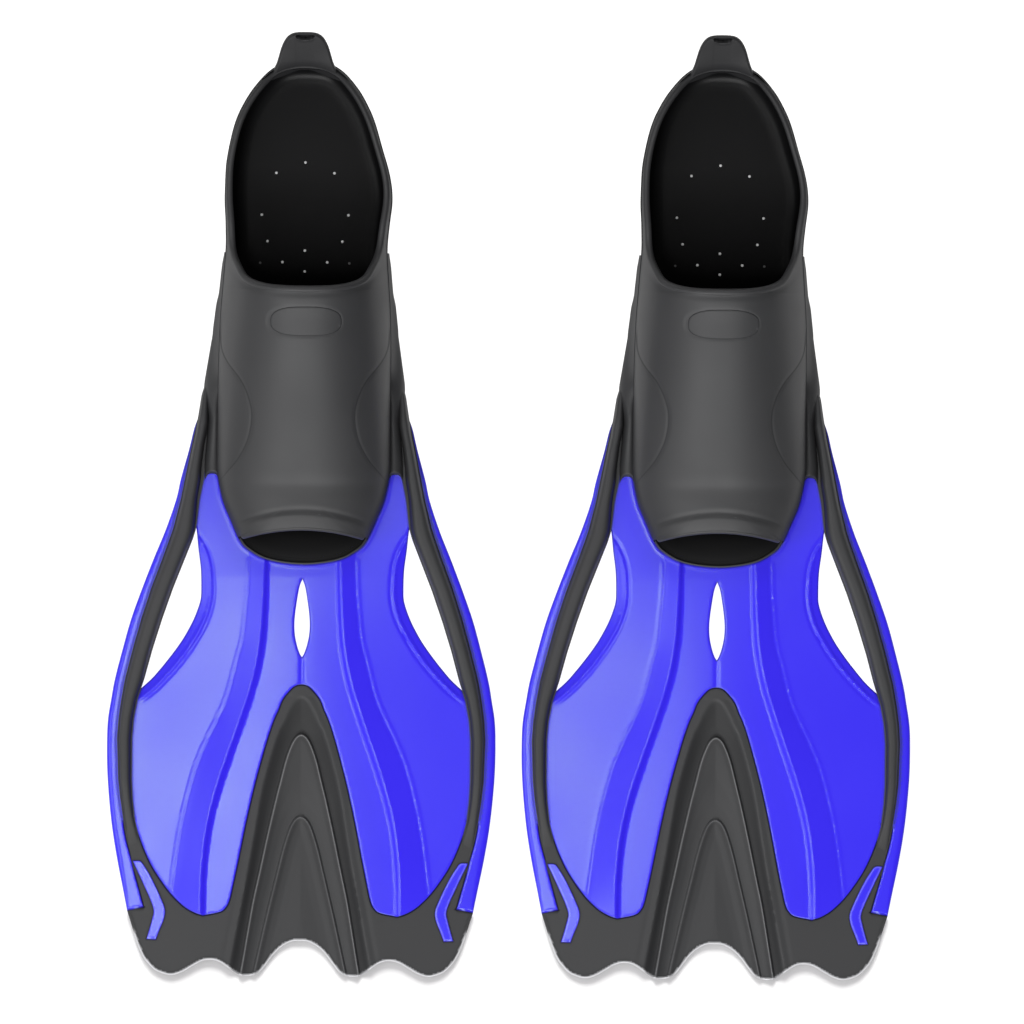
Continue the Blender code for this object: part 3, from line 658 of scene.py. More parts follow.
# ---------------------------------------------------------------- blade heights
def plate_z(p):
    """Top of the plastic plate: level at the foot, falling to the tip, slightly crowned."""
    x, y = p[:, 0], p[:, 1]
    drop = np.maximum(HINGE_Y - y, 0) * SLOPE
    crown = 0.040 * smoothstep((15 - y) / 120) * (np.sqrt(x * x + 600) - 24.5)
    return PLATE_TOP - drop - crown


POCKET_LOOP = leaned(loop_of(across(POCKET, 10)[::-1]))


def rib_wall(y):
    """Width of the rib's steep inner side."""
    return np.interp(-y, [20, 75, 150, 230], [2.3, 3.1, 3.1, 2.4])


def panel_relief(p):
    """Ribs, beads, middle groove and edge bevel on the plate."""
    q = folded(p)
    x, y = q[:, 0], q[:, 1]
    z = np.zeros(len(p))
    d_in = to_line(q, spline(RIB_IN), True)
    d_out = to_line(q, spline(RIB_OUT), True)
    wall = rib_wall(y)
    tall = np.interp(-y, [20, 60, 200, 230], [1.4, 2.0, 2.0, 1.5])
    band = np.maximum(d_in - d_out, wall + 1.0)
    t = np.clip((d_in - wall) / np.maximum(band - wall, 0.5), 0, 1)
    rib = np.where(d_in <= 0, 0, np.where(d_in < wall, smoothstep(d_in / wall), 1 - t))
    z += tall * rib * (y < -10)
    z += 0.20 * bell(d_out, 0.7, 0.7) * (y < -30) - 0.12 * bell(d_out, 0.7, -0.7) * (y < -30)
    # the bead beside the window, with a groove and a step down
    d_bead = to_line(q, spline(BEAD), True)
    edge_x = at_y(EDGE, y)
    rail_x = at_y(RAIL, y, 2)
    fade = (smoothstep((-12 - y) / 6) * smoothstep((y + 112) / 7) * (d_out > 2)
            * smoothstep((rail_x - 1.5 - x) / 2))
    step = 0.30 * smoothstep(d_bead / 0.8) + 0.20 * np.clip(d_bead - 0.4, 0, 6)
    z += fade * (0.40 * bell(d_bead, 0.6, -0.5) - 0.38 * bell(d_bead, 0.65, -1.9)
                 - np.where(d_bead > 0, step, 0))
    z -= 0.35 * bell(x, 0.9) * smoothstep((-y - 84) / 3) * smoothstep((101 + y) / 2)
    bevel = 0.26 * np.maximum(edge_x - rail_x, 0.5)
    z -= np.where(x > rail_x, 0.5 * np.clip(bevel - (edge_x - x), 0, None), 0)
    z += 0.14 * bell(outside(p, POCKET_LOOP), 0.5, 1.25) * (y < 22)
    return z


CHANNEL_LINES = [even(across(l, at_end=False), 1.0) for l in (LIP_LINE, CREST_1, CREST_2)]


def channel_distances(p):
    """Signed distances past the lip and the two crests, towards the middle line."""
    return (-to_line(folded(p), l, True) for l in CHANNEL_LINES)


def channel_relief(p):
    """The channel: a lip, a falling flank, a sharp crest, a second one and a shallow bowl."""
    d_lip, d1, d2 = channel_distances(p)
    deep = np.minimum(3.6, plate_z(p) - WEB_DROP - 1.35)

    def flank(before, after, stations, depths, rest, rise):
        """Depth between two lines: falling past the first, steep up to the second."""
        s = np.clip(before / np.maximum(before - after - STEEP, 0.3), 0, 1)
        up = np.clip(-after / STEEP, 0, 1)
        climb = rest + rise * up + 1.2 * (up >= 1)
        return -deep * np.minimum(np.interp(s, stations, depths), climb)

    z = np.where((d_lip > 0) & (d1 <= 0),
                 flank(d_lip, d1, [0, 0.06, 0.30, 0.60, 0.90, 1.0],
                       [0, 0.12, 0.46, 0.80, 1.0, 1.0], rest=0.32, rise=0.68), 0)
    z = np.where((d1 > 0) & (d2 <= 0),
                 flank(d1, d2, [0, 0.07, 0.30, 0.65, 0.90, 1.0],
                       [0.32, 0.36, 0.60, 0.82, 0.90, 0.90], rest=0.50, rise=0.40), z)
    bowl = np.interp(d2, [0, 0.7, 2.6, 6.0, 10.0, 18.0], [0.50, 0.55, 0.72, 0.86, 0.86, 0.74])
    z = np.where(d2 > 0, -deep * bowl, z)
    z -= 0.22 * bell(d_lip, 1.6, -3.6) * (d_lip <= 0) * (p[:, 1] < -106)
    return z


def channel_shade(p):
    """Painted shade: how much darker the channel's steep sides are drawn."""
    d_lip, d1, d2 = channel_distances(p)
    out = np.where((d_lip > 0) & (d1 <= 0),
                   0.52 * smoothstep(d_lip / 2.0) * smoothstep((-d1 - 0.35) / 1.0), 0)
    out += np.where((d1 > 0) & (d2 <= 0), 0.30 * bell(d1, 1.1, 1.4), 0)
    return out + np.where(d2 > 0, 0.42 * bell(d2, 1.6, 1.3), 0)


# ---------------------------------------------------------------- blade pieces
def plate_loops():
    """Outline of the plate, its two windows and its slot."""
    edge = even(spline([(x, y) for y, x in EDGE if y <= 48]), STEP)
    lobe_in = even(across(LOBE_IN[::-1], at_start=False), STEP)
    half = np.vstack([[(0, 44.0), (38.0, 44.0), (59.0, 47.8)], edge[1:],
                      even(spline(STRIP_IN[::-1]), STEP), even(spline(LOBE_OUT[::-1]), STEP),
                      lobe_in[1:]])
    rail_side = [(at_y(RAIL, y) + 1.2, y) for y in
                 (-105, -97.7, -90, -81, -72, -64, -55, -47, -38, -30.5, -25, -19.3, -15.5, -12)]
    window = np.vstack([even(spline(WINDOW), STEP), even(spline(rail_side), STEP)[:-1]])
    return [loop_of(half), window, flip(window), loop_of(even(spline(SLOT), 0.7))]


def plate_lines():
    """Lines the plate's mesh follows: ribs, beads, rails and the pocket's foot."""
    foot_of_rib = even(spline(RIB_IN), STEP)
    top_of_rib = np.array([a + (a - b) * (rib_wall(a[1]) - 1.0)
                           for a, b in zip(shifted(foot_of_rib, 1.0), foot_of_rib)])
    halves = [spline(l) for l in (RIB_IN, RIB_OUT, BEAD)] + [top_of_rib]
    y = np.arange(44, -176, -2.0)
    for column, offsets in ((1, (0.1, -0.8)), (2, (-0.1, 0.8))):
        halves += [np.column_stack([at_y(RAIL, y, column) + off, y]) for off in offsets]
    lines = [line for half in halves for line in (half, flip(half))]
    outward = -left_normals(POCKET_LOOP, closed=True)
    for off in (0.15, 0.7, 1.25, 1.8):
        ring = POCKET_LOOP + outward * off
        ring = np.roll(ring, -np.argmax(ring[:, 1]), axis=0)
        ring = ring[ring[:, 1] < 20]
        lines += [ring[ring[:, 0] > 0], ring[ring[:, 0] <= 0]]
    return lines


def blade_plate():
    v, f, d = plan(plate_loops(), plate_lines(), STEP, 0.8)
    top = plate_z(v) + panel_relief(v) - rounding(d, 0.8)
    bottom = plate_z(v) - 3.0 + rounding(d, 0.5)
    x, y = np.abs(v[:, 0]), v[:, 1]
    rail_in, rail_out = at_y(RAIL, y, 1), at_y(RAIL, y, 2)
    # painted shade: dark lines along the plate's edges, beside the rails and round the pocket's
    # foot
    near = np.maximum.reduce([
        bell(d, 0.42) * np.where(x > rail_out + 0.5, 0.55, 1.0),
        0.85 * bell(x - rail_in, 0.6) * (y > -176),
        0.85 * bell(x - rail_out, 0.55, 0.5) * (y > -178),
        0.90 * bell(outside(v, POCKET_LOOP), 0.5, 0.15) * (y < 24)])
    return sheet(v, f, top, np.minimum(bottom, top - 0.8)), {"painted_edge_shade": np.tile(near, 2)}


CHEVRON_LOOP = np.vstack([even(spline(CHEVRON[:CHEVRON_CORNER]), 0.7),
                          even(spline(CHEVRON[CHEVRON_CORNER:] + CHEVRON[:1]), 0.7)[:-1]])


def channel_web():
    """Rubber web between the plate's lobes and along the tip."""
    tip = even(across(TIP, at_end=False), 0.9)
    half = np.vstack([even(across(LOBE_IN, at_end=False), STEP)[:-1],
                      even(spline(LOBE_OUT), STEP), even(spline(STRIP_IN), STEP), tip[::-1]])
    lines = []
    for k, l in enumerate(CHANNEL_LINES):
        lines.append(line_of(l))
        for off in (STEEP, 0.4, -0.4, -0.8) if k else ():
            w = shifted(l, off)
            w = w[w[:, 0] > 0.2]
            lines += [w, flip(w)]
    v, f, d = plan([loop_of(half)], lines, 1.0, 0.7)
    q = folded(v)
    surface = plate_z(v) - WEB_DROP + channel_relief(v)
    d_tip = to_line(q, np.vstack([tip, [(97.2, -224.0)]]))
    top = surface - np.where(d_tip < 1.0, rounding(d, 0.25), rounding(d, 0.7))
    thick = np.interp(-v[:, 1], [100, 225, 263], [2.6, 2.4, 1.9])
    bottom = np.minimum(np.maximum(surface - thick, 0.6), top - 0.5)
    # painted shade: dark lines along the web's edges, inside the tip's edge, round the chevrons
    # and on the channel's steep sides
    near = np.maximum.reduce([
        np.where(d_tip > 1.4, bell(d, 0.45), 0), 0.55 * bell(d_tip, 0.55, 1.5),
        0.9 * bell(to_loops(q, [CHEVRON_LOOP]), 0.5), channel_shade(v)])
    # a pale line along the tip's edge, and painted highlights along the two crests
    rim = np.maximum.reduce([
        np.exp(-(d_tip / 0.8) ** 4) * smoothstep((-236 - v[:, 1]) / 6),
        0.26 * bell(to_line(q, CHANNEL_LINES[1]), 0.42),
        0.11 * bell(to_line(q, CHANNEL_LINES[2]), 0.55)])
    marks = {"painted_edge_shade": np.tile(near, 2), "rim": np.concatenate([rim, rim * 0])}
    return sheet(v, f, top, bottom), marks


def chevron():
    v, f, d = plan([CHEVRON_LOOP], (), 0.8, 0.6)
    # painted shade in a thin line round the chevron's outline, and a painted highlight along its
    # bevel
    marks = {"painted_edge_shade": np.tile(0.9 * bell(d, 0.22), 2),
             "rim": np.tile(0.55 * bell(d, 0.35, 0.75), 2)}
    return sheet(v, f, plate_z(v) + 0.35 - rounding(d, 0.6), plate_z(v) - 1.0), marks


# ---------------------------------------------------------------- rails and flanks
def arch(s, power, round_):
    return np.maximum(1 - np.abs(2 * s - 1) ** power, 0) ** round_


def cosine_steps(count):
    """Stations from 0 to 1, closer together at both ends."""
    return (1 - np.cos(np.linspace(0, np.pi, count))) / 2


def rail_rings():
    """Sections of one rail from inside the flank to its end beside the chevron."""
    s = cosine_steps(25)
    k = s[::-1][2:-2:2]
    rings = []
    for y in np.arange(80, -206.5, -1.9):
        x_in = at_y(RAIL, y)
        x_out = at_y(RAIL, y, 2)
        if y > 47:
            x_out = at_y(EDGE, y) - 1.3 * smoothstep((y - 60) / 10)
        start = smoothstep((80 - y) / 34)
        t = np.clip((46 - y) / 246, 0, 1)
        end = 1 - smoothstep((-150 - y) / 46)
        lift = 0.25 - 0.85 * smoothstep((-172 - y) / 22)
        foot_in = np.interp(-y, [-80, -46, -34, -20, -8, 8, 20],
                            [0.3, 0.3, 1.5, 2.0, 1.6, 0.9, 0.7])
        foot_out = np.interp(-y, [-80, -46, -40], [0.05, 0.1, 0.6])
        base = plate_z(np.array([[(x_in + x_out) / 2, y]]))[0]
        a, b = x_in + foot_in, x_out - foot_out
        height = (8.8 - 6.0 * t) * (0.2 + 0.8 * start) * end + 0.12
        foot_z = [base + lift - 0.05]
        top = np.concatenate([foot_z, base + lift + height * arch(s, 3.4, 0.5), foot_z])
        keel = 0.3 + (5.2 - 3.4 * t) * smoothstep((30 - y) / 60) * end
        under = np.maximum(base - 3.2 - keel * arch(k, 2.6, 0.6), 0.5)
        xs = np.concatenate([[x_in], a + (b - a) * s, [x_out], x_in + (x_out - x_in) * k])
        rings.append(np.column_stack([xs, np.full(len(xs), y), np.concatenate([top, under])]))
    return np.array(rings)


def ear_setback(x):
    """Rounded end of the flank's ridge, where the plastic ear comes out."""
    return -2.6 * np.clip(np.abs(np.abs(x) - 51.2) / 3.6, 0, 1.2) ** 3.2


def flank_rings():
    """Sections of the web from the pocket's side to the flank's edge.

    It narrows to a ridge that ends at the ear.
    """
    s = cosine_steps(23)
    k = s[::-1][2:-2:2]
    rings = []
    sides = [(y, x) for x, y in POCKET if x > 30]
    for y in np.concatenate([np.arange(141, 30, -2.0), np.arange(30, 20, -1.2),
                             np.arange(20, 17.0, -0.3)]):
        edge = at_y(EDGE, y) + np.interp(y, [95, 112, 134, 146], [0, 1.7, 1.2, 0])
        groove = np.interp(-y, [-60, -46, -31, -24, -17], [54.0, 53.7, 54.8, 55.4, 55.3])
        x_out = groove + (edge - groove) * smoothstep((y - 48) / 22)
        x_in = at_y(sides, y) - 2.6
        u = min((141 - y) / 98, 1)
        high, low = 36 - 12 * u, 14.5 + 1.0 * u
        web = low + (high - low) * (1 - s) ** 1.8 - 1.6 * s ** 10
        ridge = 12.0 + (8.6 - 3.2 * smoothstep((52 - y) / 30)) * arch(s, 2.2, 0.7)
        m = smoothstep((84 - y) / 40)
        top = web * (1 - m) + ridge * m
        end = math.sqrt(max(1 - np.clip((19.3 - y) / 2.0, 0, 1) ** 2, 0))
        top = 11.0 + (top - 11.0) * (0.02 + 0.98 * end)
        top[-1] = 10.6
        xs = x_in + (x_out - x_in) * np.concatenate([s, k])
        ys = y + ear_setback(xs) * smoothstep((27 - y) / 9)
        bottom = 10.5 if y < 48 else 10.5 - 8.0 * smoothstep((y - 48) / 14)
        rings.append(np.column_stack([xs, ys, np.concatenate([top, np.full(len(k), bottom)])]))
    return np.array(rings)


# ---------------------------------------------------------------- foot pocket
pocket_line = across(POCKET, 16)[::-1]      # toe to heel, right half
crown_line = spline(CROWN, 12)


def crown_at(y):
    return np.interp(y, crown_line[:, 0], crown_line[:, 1])


def skin_columns(off):
    """Feet of the pocket's columns, toe to heel, moved inwards by off."""
    p = pocket_line
    loop = loop_of(p)
    moved = (loop + left_normals(loop, closed=True) * off)[:len(p)]
    moved[0, 0] = moved[-1, 0] = 0
    s = arc_length(p)
    q = np.linspace(0, s[-1], int(s[-1] / 1.05))
    return np.column_stack([np.interp(q, s, moved[:, 0]), np.interp(q, s, moved[:, 1])])


def dome_at(col, th, off):
    """Coordinates on the pocket's crown for columns (rows) and angles (along a row)."""
    x0, y0 = col[:, 0][:, None], col[:, 1][:, None]
    spine_y = np.clip(y0, SPINE_TOE, SPINE_HEEL)
    power = at_y(SQUARE, spine_y)
    c = np.maximum(np.cos(th), 0)
    f = np.where(c < 1e-6, 0, c ** power)
    y = spine_y + (y0 - spine_y) * f
    top = crown_at(np.minimum(y, SPINE_HEEL)) - off
    z = GIRTH_Z + (top - GIRTH_Z) * np.sin(th) ** (0.3 + 0.7 * power)
    return x0 * f, y, z


def crown_height(x, y):
    """Height of the outer crown over plan points between the two spine ends."""
    x0 = np.interp(y, pocket_line[:, 1], pocket_line[:, 0])
    f = np.clip(np.abs(x) / np.maximum(x0, 1e-6), 0, 1)
    power = at_y(SQUARE, y)
    c = f ** (1 / power)
    s = np.sqrt(np.maximum(1 - c * c, 0))
    return GIRTH_Z + (crown_at(y) - GIRTH_Z) * s ** (0.3 + 0.7 * power)


def rim_z(y):
    """Height of the mouth's rim: the mouth's plan in front, the side line behind."""
    front = crown_height(at_y(MOUTH, y), np.minimum(y, 166))
    front = np.where(y < MOUTH[0][0] + 0.02, 200.0, front)
    k = smoothstep((y - 136) / 28)
    return front * (1 - k) + at_y(RIM, y) * k


def toe_arc(x):
    """Edge of the toe opening."""
    return -12.3 - 5.7 * (np.abs(x) / 35.2) ** 2


cols = {off: skin_columns(off) for off in (0.0, WALL)}


def skin_limits(off):
    """For each column: first and last angle, and whether it meets the mouth and the toe."""
    angles = np.linspace(0, np.pi / 2, 500)
    x, y, z = dome_at(cols[off], angles[None, :], off)
    in_mouth = (y > MOUTH[0][0]) & (z > rim_z(y))
    mouth = in_mouth.any(1)
    end = np.where(mouth, angles[in_mouth.argmax(1)], np.pi / 2)
    in_toe = y < toe_arc(x)
    toe = in_toe.any(1)
    start = np.where(toe, angles[len(angles) - 1 - in_toe[:, ::-1].argmax(1)], 0.0)
    return start, end, mouth, toe


LIMITS = {off: skin_limits(off) for off in (0.0, WALL)}
TOE_COLUMNS = [int(i) for i in np.flatnonzero(LIMITS[0.0][3])]

lip_plan = np.vstack([across([(x, y) for y, x in MOUTH], at_end=False),
                      [(44.6, 160), (45.0, 175), (43.6, 192)]])
badge_t = np.linspace(0, 2 * np.pi, 160, endpoint=False)
badge_loop = np.column_stack([
    centre + half * np.sign(wave) * np.abs(wave) ** (2 / BADGE_POWER)
    for centre, half, wave in ((BADGE_X, BADGE_HALF_X, np.cos(badge_t)),
                               (BADGE_Y, BADGE_HALF_Y, np.sin(badge_t)))])
patch_line = spline(SIDE_PATCH)


def patch_fade(y):
    return smoothstep((101 - y) / 8) * smoothstep((y - 12) / 6)


def toe_crease(x):
    return -3.6 - 6.6 * (x / 34) ** 2


def relief(p):
    """Raised lips, creases, the badge's seat and the side patches, from above."""
    q = folded(p)
    x, y = q[:, 0], q[:, 1]
    out = np.zeros(len(p))
    d_mouth = to_line(q, lip_plan)
    fade = smoothstep((172 - y) / 30)
    out += fade * (0.30 * smoothstep((1.0 - d_mouth) / 1.6) - 0.50 * bell(d_mouth, 1.6, 2.3))
    out -= 0.30 * smoothstep((0.5 - outside(p, badge_loop)) / 0.7)
    out -= patch_fade(y) * 0.42 * bell(to_line(q, patch_line), 0.95)
    crease_y = toe_crease(x)
    fade = smoothstep((37 - x) / 5)
    fold = 0.55 * smoothstep((crease_y - y + 0.8) / 3.2) - 0.5 * bell(y - crease_y, 1.7, 0.9)
    out += np.where(y < 14, fade * fold, 0)
    return out


def pocket_marks(co):
    """Signed distances to the fine grooves, and how strongly the material paints shade in them."""
    q = folded(co[:, :2])
    x, y = q[:, 0], q[:, 1]
    high = smoothstep((co[:, 2] - GIRTH_Z) / 6)
    return {"groove_a": to_line(q, patch_line, True) / 0.62,
            "groove_on_a": high * patch_fade(y) * 0.75,
            "groove_b": (y - toe_crease(x) - 0.9) / 1.1,
            "groove_on_b": high * smoothstep((36 - x) / 5) * (y < 12) * 0.45}


def crown_part(off, levels, every, relieve):
    """Grid of crown points over every so many columns and the last one."""
    start, end = (limit[:, None] for limit in LIMITS[off][:2])
    th = start + (end - start) * np.linspace(0, 1, levels)[None, :]
    pts = np.stack(dome_at(cols[off], th, off), -1)
    if relieve:
        flat = pts.reshape(-1, 3)
        flat[:, 2] += relief(flat[:, :2]) * smoothstep((flat[:, 2] - GIRTH_Z) / 8)
        pts = flat.reshape(pts.shape)
    last = len(pts) - 1
    return pts[np.unique(np.append(np.arange(0, last + 1, every), last))]


def wall_rows(off, heights, tuck):
    """Grid of the wall below the girth, tucked in towards the sole."""
    x0, y0 = cols[off].T
    rows = []
    for z in heights:
        k = ((GIRTH_Z - z) / (GIRTH_Z - UPPER_BOTTOM)) ** 2 * tuck
        x = np.maximum(np.abs(x0) - k, 0) * (np.abs(x0) > 0.01)
        y = y0 - np.sign(y0 - 100) * k * (1 - np.clip(np.abs(x0) / 30, 0, 1))
        rows.append(np.column_stack([x, y, np.full(len(x0), z)]))
    return np.array(rows).transpose(1, 0, 2)


def pocket_outer():
    first = int(np.argmax(~LIMITS[0.0][3]))
    side = wall_rows(0.0, [TRAY_Z, 18.0, 21.0, GIRTH_Z], 0.9)
    return both(merged([
        strip(crown_part(0.0, levels=88, every=1, relieve=True)),
        strip(wall_rows(0.0, [UPPER_BOTTOM, 12.2, 13.8, TRAY_Z], 0.9)),
        strip(side[first - 1:])]))


def pocket_inner():
    """The lining, with a shelf that joins it to the tray's edge."""
    shelf_z = TRAY_Z - 0.9
    first = int(np.argmax(~LIMITS[WALL][3]))
    side = wall_rows(WALL, [shelf_z, 19.0, GIRTH_Z], 0.0)
    ids = np.arange(0, first + 1)
    shelf = np.stack([np.column_stack([cols[off][ids], np.full(len(ids), z)])
                      for off, z in ((0.0, TRAY_Z - 0.6), (WALL, shelf_z))])
    return both(merged([
        strip(crown_part(WALL, levels=44, every=2, relieve=False)),
        strip(wall_rows(WALL, [BED_TOP - 1.0, shelf_z], 0.0)),
        strip(side[first - 1:]),
        strip(shelf.transpose(1, 0, 2))]))


def mid_skin(i, which):
    """Half way between the skins at column i's first (which 0) or last (1) angle."""
    return sum(np.array(dome_at(cols[off][i:i + 1], np.array([[LIMITS[off][which][i]]]), off))
               [:, 0, 0] for off in (0.0, WALL)) / 2


def mouth_lip():
    """Rolled lip round the mouth, half way between the two skins."""
    mouths = LIMITS[0.0][2] & LIMITS[WALL][2] & (cols[0.0][:, 1] > 129.5)
    side = np.array([mid_skin(i, 1) for i in np.flatnonzero(mouths)])
    ahead = lip_plan[lip_plan[:, 1] < 127.5]
    drop = WALL / 2 * np.clip(1 + 0.012 * np.abs(ahead[:, 0]), 1, 1.6)
    ahead = np.column_stack([ahead, crown_height(ahead[:, 0], ahead[:, 1]) - drop])
    loop = loop_of(even(np.vstack([ahead, side]), 1.0))
    for _ in range(40):
        loop = (np.roll(loop, 1, axis=0) + 2 * loop + np.roll(loop, -1, axis=0)) / 4
    under_tab = smoothstep((26 - np.abs(loop[:, 0])) / 8) * (loop[:, 1] > 225)
    loop[:, 2] -= 1.5 * under_tab
    radius = np.interp(loop[:, 1], [126, 150, 200],
                       [WALL / 2 + 0.42, WALL / 2 + 0.30, WALL / 2 + 0.12])
    return tube(loop, radius - 0.1 * under_tab, 18, closed=True)


def toe_lip():
    arc = even(line_of(np.array([mid_skin(i, 0) for i in TOE_COLUMNS])), 1.2)
    for _ in range(8):
        arc[1:-1] = (arc[:-2] + 2 * arc[1:-1] + arc[2:]) / 4
    return tube(arc, WALL / 2 + 0.12, 16)


def tray_lip():
    """Thin edge of the tray in front of the toe opening."""
    last = TOE_COLUMNS[-1]
    edge = np.array([[cols[0.0][i, 0] * 0.985, cols[0.0][i, 1] + 0.5, TRAY_Z - 0.35]
                     for i in TOE_COLUMNS + [last + 1, last + 2, last + 3]])
    return tube(even(line_of(edge), 1.2), 0.62, 12)


def badge():
    """The badge plate, let into the instep."""
    outline = even(np.vstack([badge_loop, badge_loop[:1]]), 0.6)[:-1] * [0.992, 1]
    v, f, d = plan([outline], (), 0.9, 0.4)
    z = crown_height(v[:, 0], v[:, 1])
    # painted shade round the badge's edge
    marks = {"painted_edge_shade": np.tile(bell(d, 0.34), 2) * 0.8}
    return sheet(v, f, z + 0.10 - rounding(d, 0.4), z - 1.3), marks


def footbed():
    """Footbed with a hollowed border."""
    border = 8.0
    x0, y0 = cols[WALL].T
    spine_y = np.clip(y0, SPINE_TOE, SPINE_HEEL)
    reach = np.maximum(np.hypot(x0, y0 - spine_y), 1.0)
    rings = []
    for k in (1.0, 0.985, 0.96, 0.93, 0.89, 0.84, 0.78, 0.70, 0.55, 0.35, 0.15, 0.0):
        d = (1 - k) * reach
        z = np.where(d >= border, BED_TOP, BED_TOP + rounding(d, border))
        z = np.where(LIMITS[WALL][3], BED_TOP + 0.8 * (1 - smoothstep(d / 10.0)), z)
        rings.append(np.column_stack([x0 * k, spine_y + (y0 - spine_y) * k, z]))
    return both(strip(np.array(rings).transpose(1, 0, 2)[::2]))


def outsole():
    """Outsole with a barred tread."""
    loop = loop_of(even(pocket_line * [0.985, 1], 1.6))
    loop[:, 1] = 100 + (loop[:, 1] - 100) * 0.996
    v, f, d = plan([loop], (), 1.9, 1.2)
    x, y = np.abs(v[:, 0]), v[:, 1]
    bars = np.zeros(len(v))
    for bar_y in [96 - 16 * k for k in range(7)] + [214, 202, 190]:
        half_length = 34 if bar_y < 120 else 22
        bar = 1.3 * smoothstep((1.9 - np.abs(y - bar_y)) / 0.9) * (x < half_length)
        bars = np.maximum(bars, bar)
    top = np.full(len(v), UPPER_BOTTOM - 0.35) - rounding(d, 0.8)
    return sheet(v, f, top, bars + rounding(d, 1.2))


def vent_dots(places):
    """Vent holes: small dots on the footbed, mirrored off the middle line; their colours paint the
    light and shade seen through the holes.
    """
    ang = np.linspace(0, 2 * np.pi, 14, endpoint=False)
    profile = ((0.78, -0.1), (0.70, 0.10), (0.4, 0.16), (0.0, 0.17))   # radius, height
    dots = []
    for x, y in places:
        for side in ((1,) if x == 0 else (1, -1)):
            rings = [np.column_stack([side * x + r * np.cos(ang), y + r * np.sin(ang),
                                      np.full(14, BED_TOP + z)]) for r, z in profile]
            dots.append(strip(np.array(rings), closed=True))
    return merged(dots)


def heel_tab():
    """A tongue that grows out of the rim, with a finger slot at its end."""
    half = np.vstack([even(across(TONGUE, at_end=False), 0.7), [(0, TONGUE[-1][1])]])
    v, f, d = plan([loop_of(half)], (), 0.75, 1.2)
    lens = np.abs(v[:, 0]) / 5.2
    slot = np.abs(v[:, 1] - 19.0 - 0.7 * lens ** 2) - 1.15 * np.sqrt(np.maximum(1 - lens ** 2, 0))
    slot = np.where(lens > 1, 1.5, slot)
    dip = 2.3 * smoothstep((0.35 - slot) / 0.7)
    thick = np.interp(v[:, 1], [-8.5, 0, 20], [1.7, 2.0, 1.7])
    bottom = -thick + rounding(d, 1.2)
    top = thick - rounding(d, 1.2) - dip + 0.35 * bell(slot, 0.5, 0.9)
    co, faces = sheet(v, f, np.maximum(top, bottom + 0.35), bottom)
    x, along, height = co.T
    # the centre line stands up inside the heel wall and leans back beyond the rim
    tilt_end = math.radians(38)
    u = np.linspace(-9, 21, 200)
    ang = np.interp(u, [-9, -3, 4, 21],
                    [math.radians(86), math.radians(74), tilt_end, tilt_end * 0.9])
    du = u[1] - u[0]
    centre_y = np.concatenate([[0], np.cumsum(np.cos(ang[:-1]) * du)])
    centre_z = np.concatenate([[0], np.cumsum(np.sin(ang[:-1]) * du)])
    centre_y -= np.interp(0, u, centre_y)
    centre_z -= np.interp(0, u, centre_z)
    a = np.interp(along, u, ang)
    wrap = 0.0150 * x ** 2 * (1 - smoothstep((along + 2) / 15))
    y = TAB_Y - 0.5 + np.interp(along, u, centre_y) - np.sin(a) * height - wrap
    z = TAB_Z + 0.4 + np.interp(along, u, centre_z) + np.cos(a) * height
    # painted shade in the finger slot
    marks = {"painted_edge_shade": np.tile(0.9 * smoothstep((0.35 - slot) / 0.6), 2)}
    return (np.column_stack([x, y, z]), faces), marks


# ---------------------------------------------------------------- objects; the pocket's pieces on its body
chevron_r, chevron_marks = chevron()
rail_r = capped(rail_rings())
# name, (part, marks), material, slot, replaced pieces
BLADE = [
    ("blade_skeleton", blade_plate(), BLUE, "blue_plastic", ("blade_root", "blade_panel")),
    ("channel_web", channel_web(), RUBBER, "black_rubber", ("channel_web",)),
    ("chevron_r", (chevron_r, chevron_marks), BLUE, "blue_plastic", ("chevron_r",)),
    ("chevron_l", (mirror(chevron_r), chevron_marks), BLUE, "blue_plastic", ("chevron_l",)),
    ("rail_r", (rail_r, None), RUBBER, "black_rubber", ("rail_top_r", "rail_bottom_r")),
    ("rail_l", (mirror(rail_r), None), RUBBER, "black_rubber", ("rail_top_l", "rail_bottom_l")),
]
tips = []
for name, (part, marks), mat, slot_name, pieces in BLADE:
    for s, o in build(name, part, mat, marks=marks).items():
        if name == "channel_web":
            tips.append(o)
        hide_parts(*[s + "_" + n for n in pieces])
        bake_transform(o)

shell = merged([pocket_outer(), mouth_lip(), toe_lip(), tray_lip(),
                both(capped(flank_rings(), last=False))])
badge_part, badge_marks = badge()
# name, part, material, slot, replaced pieces, weld distance, marks
RIDES = [
    ("foot_pocket", shell, RUBBER, "black_rubber", ("foot_pocket",), 0.02,
     pocket_marks(shell[0])),
    ("badge", badge_part, RUBBER, "black_rubber", ("badge",), 0.0, badge_marks),
    ("pocket_lining", pocket_inner(), LINING, "footbed_rubber", (), 0.02, None),
    ("footbed", footbed(), LINING, "footbed_rubber", ("footbed",), 0.02, None),
    ("outsole", outsole(), RUBBER, "black_rubber", ("outsole",), 0.0, None),
    ("vent_dots", vent_dots(VENTS), VENT_PAINTED_LIGHT, "footbed_rubber", (), 0.001, None),
    ("vent_dots_side", vent_dots(DIM_VENTS), VENT_PAINTED_SHADE, "footbed_rubber", (), 0.001, None),
]
for name, part, mat, slot_name, pieces, weld, marks in RIDES:
    if not name.startswith("vent"):
        part = (leaned(part[0]), part[1])
    for s, o in build(name, part, mat, weld=weld, sharp=60, outward=mat is RUBBER,
                      marks=marks).items():
        if pieces:
            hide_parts(*[s + "_" + n for n in pieces])
        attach(o, s + "_pocket")

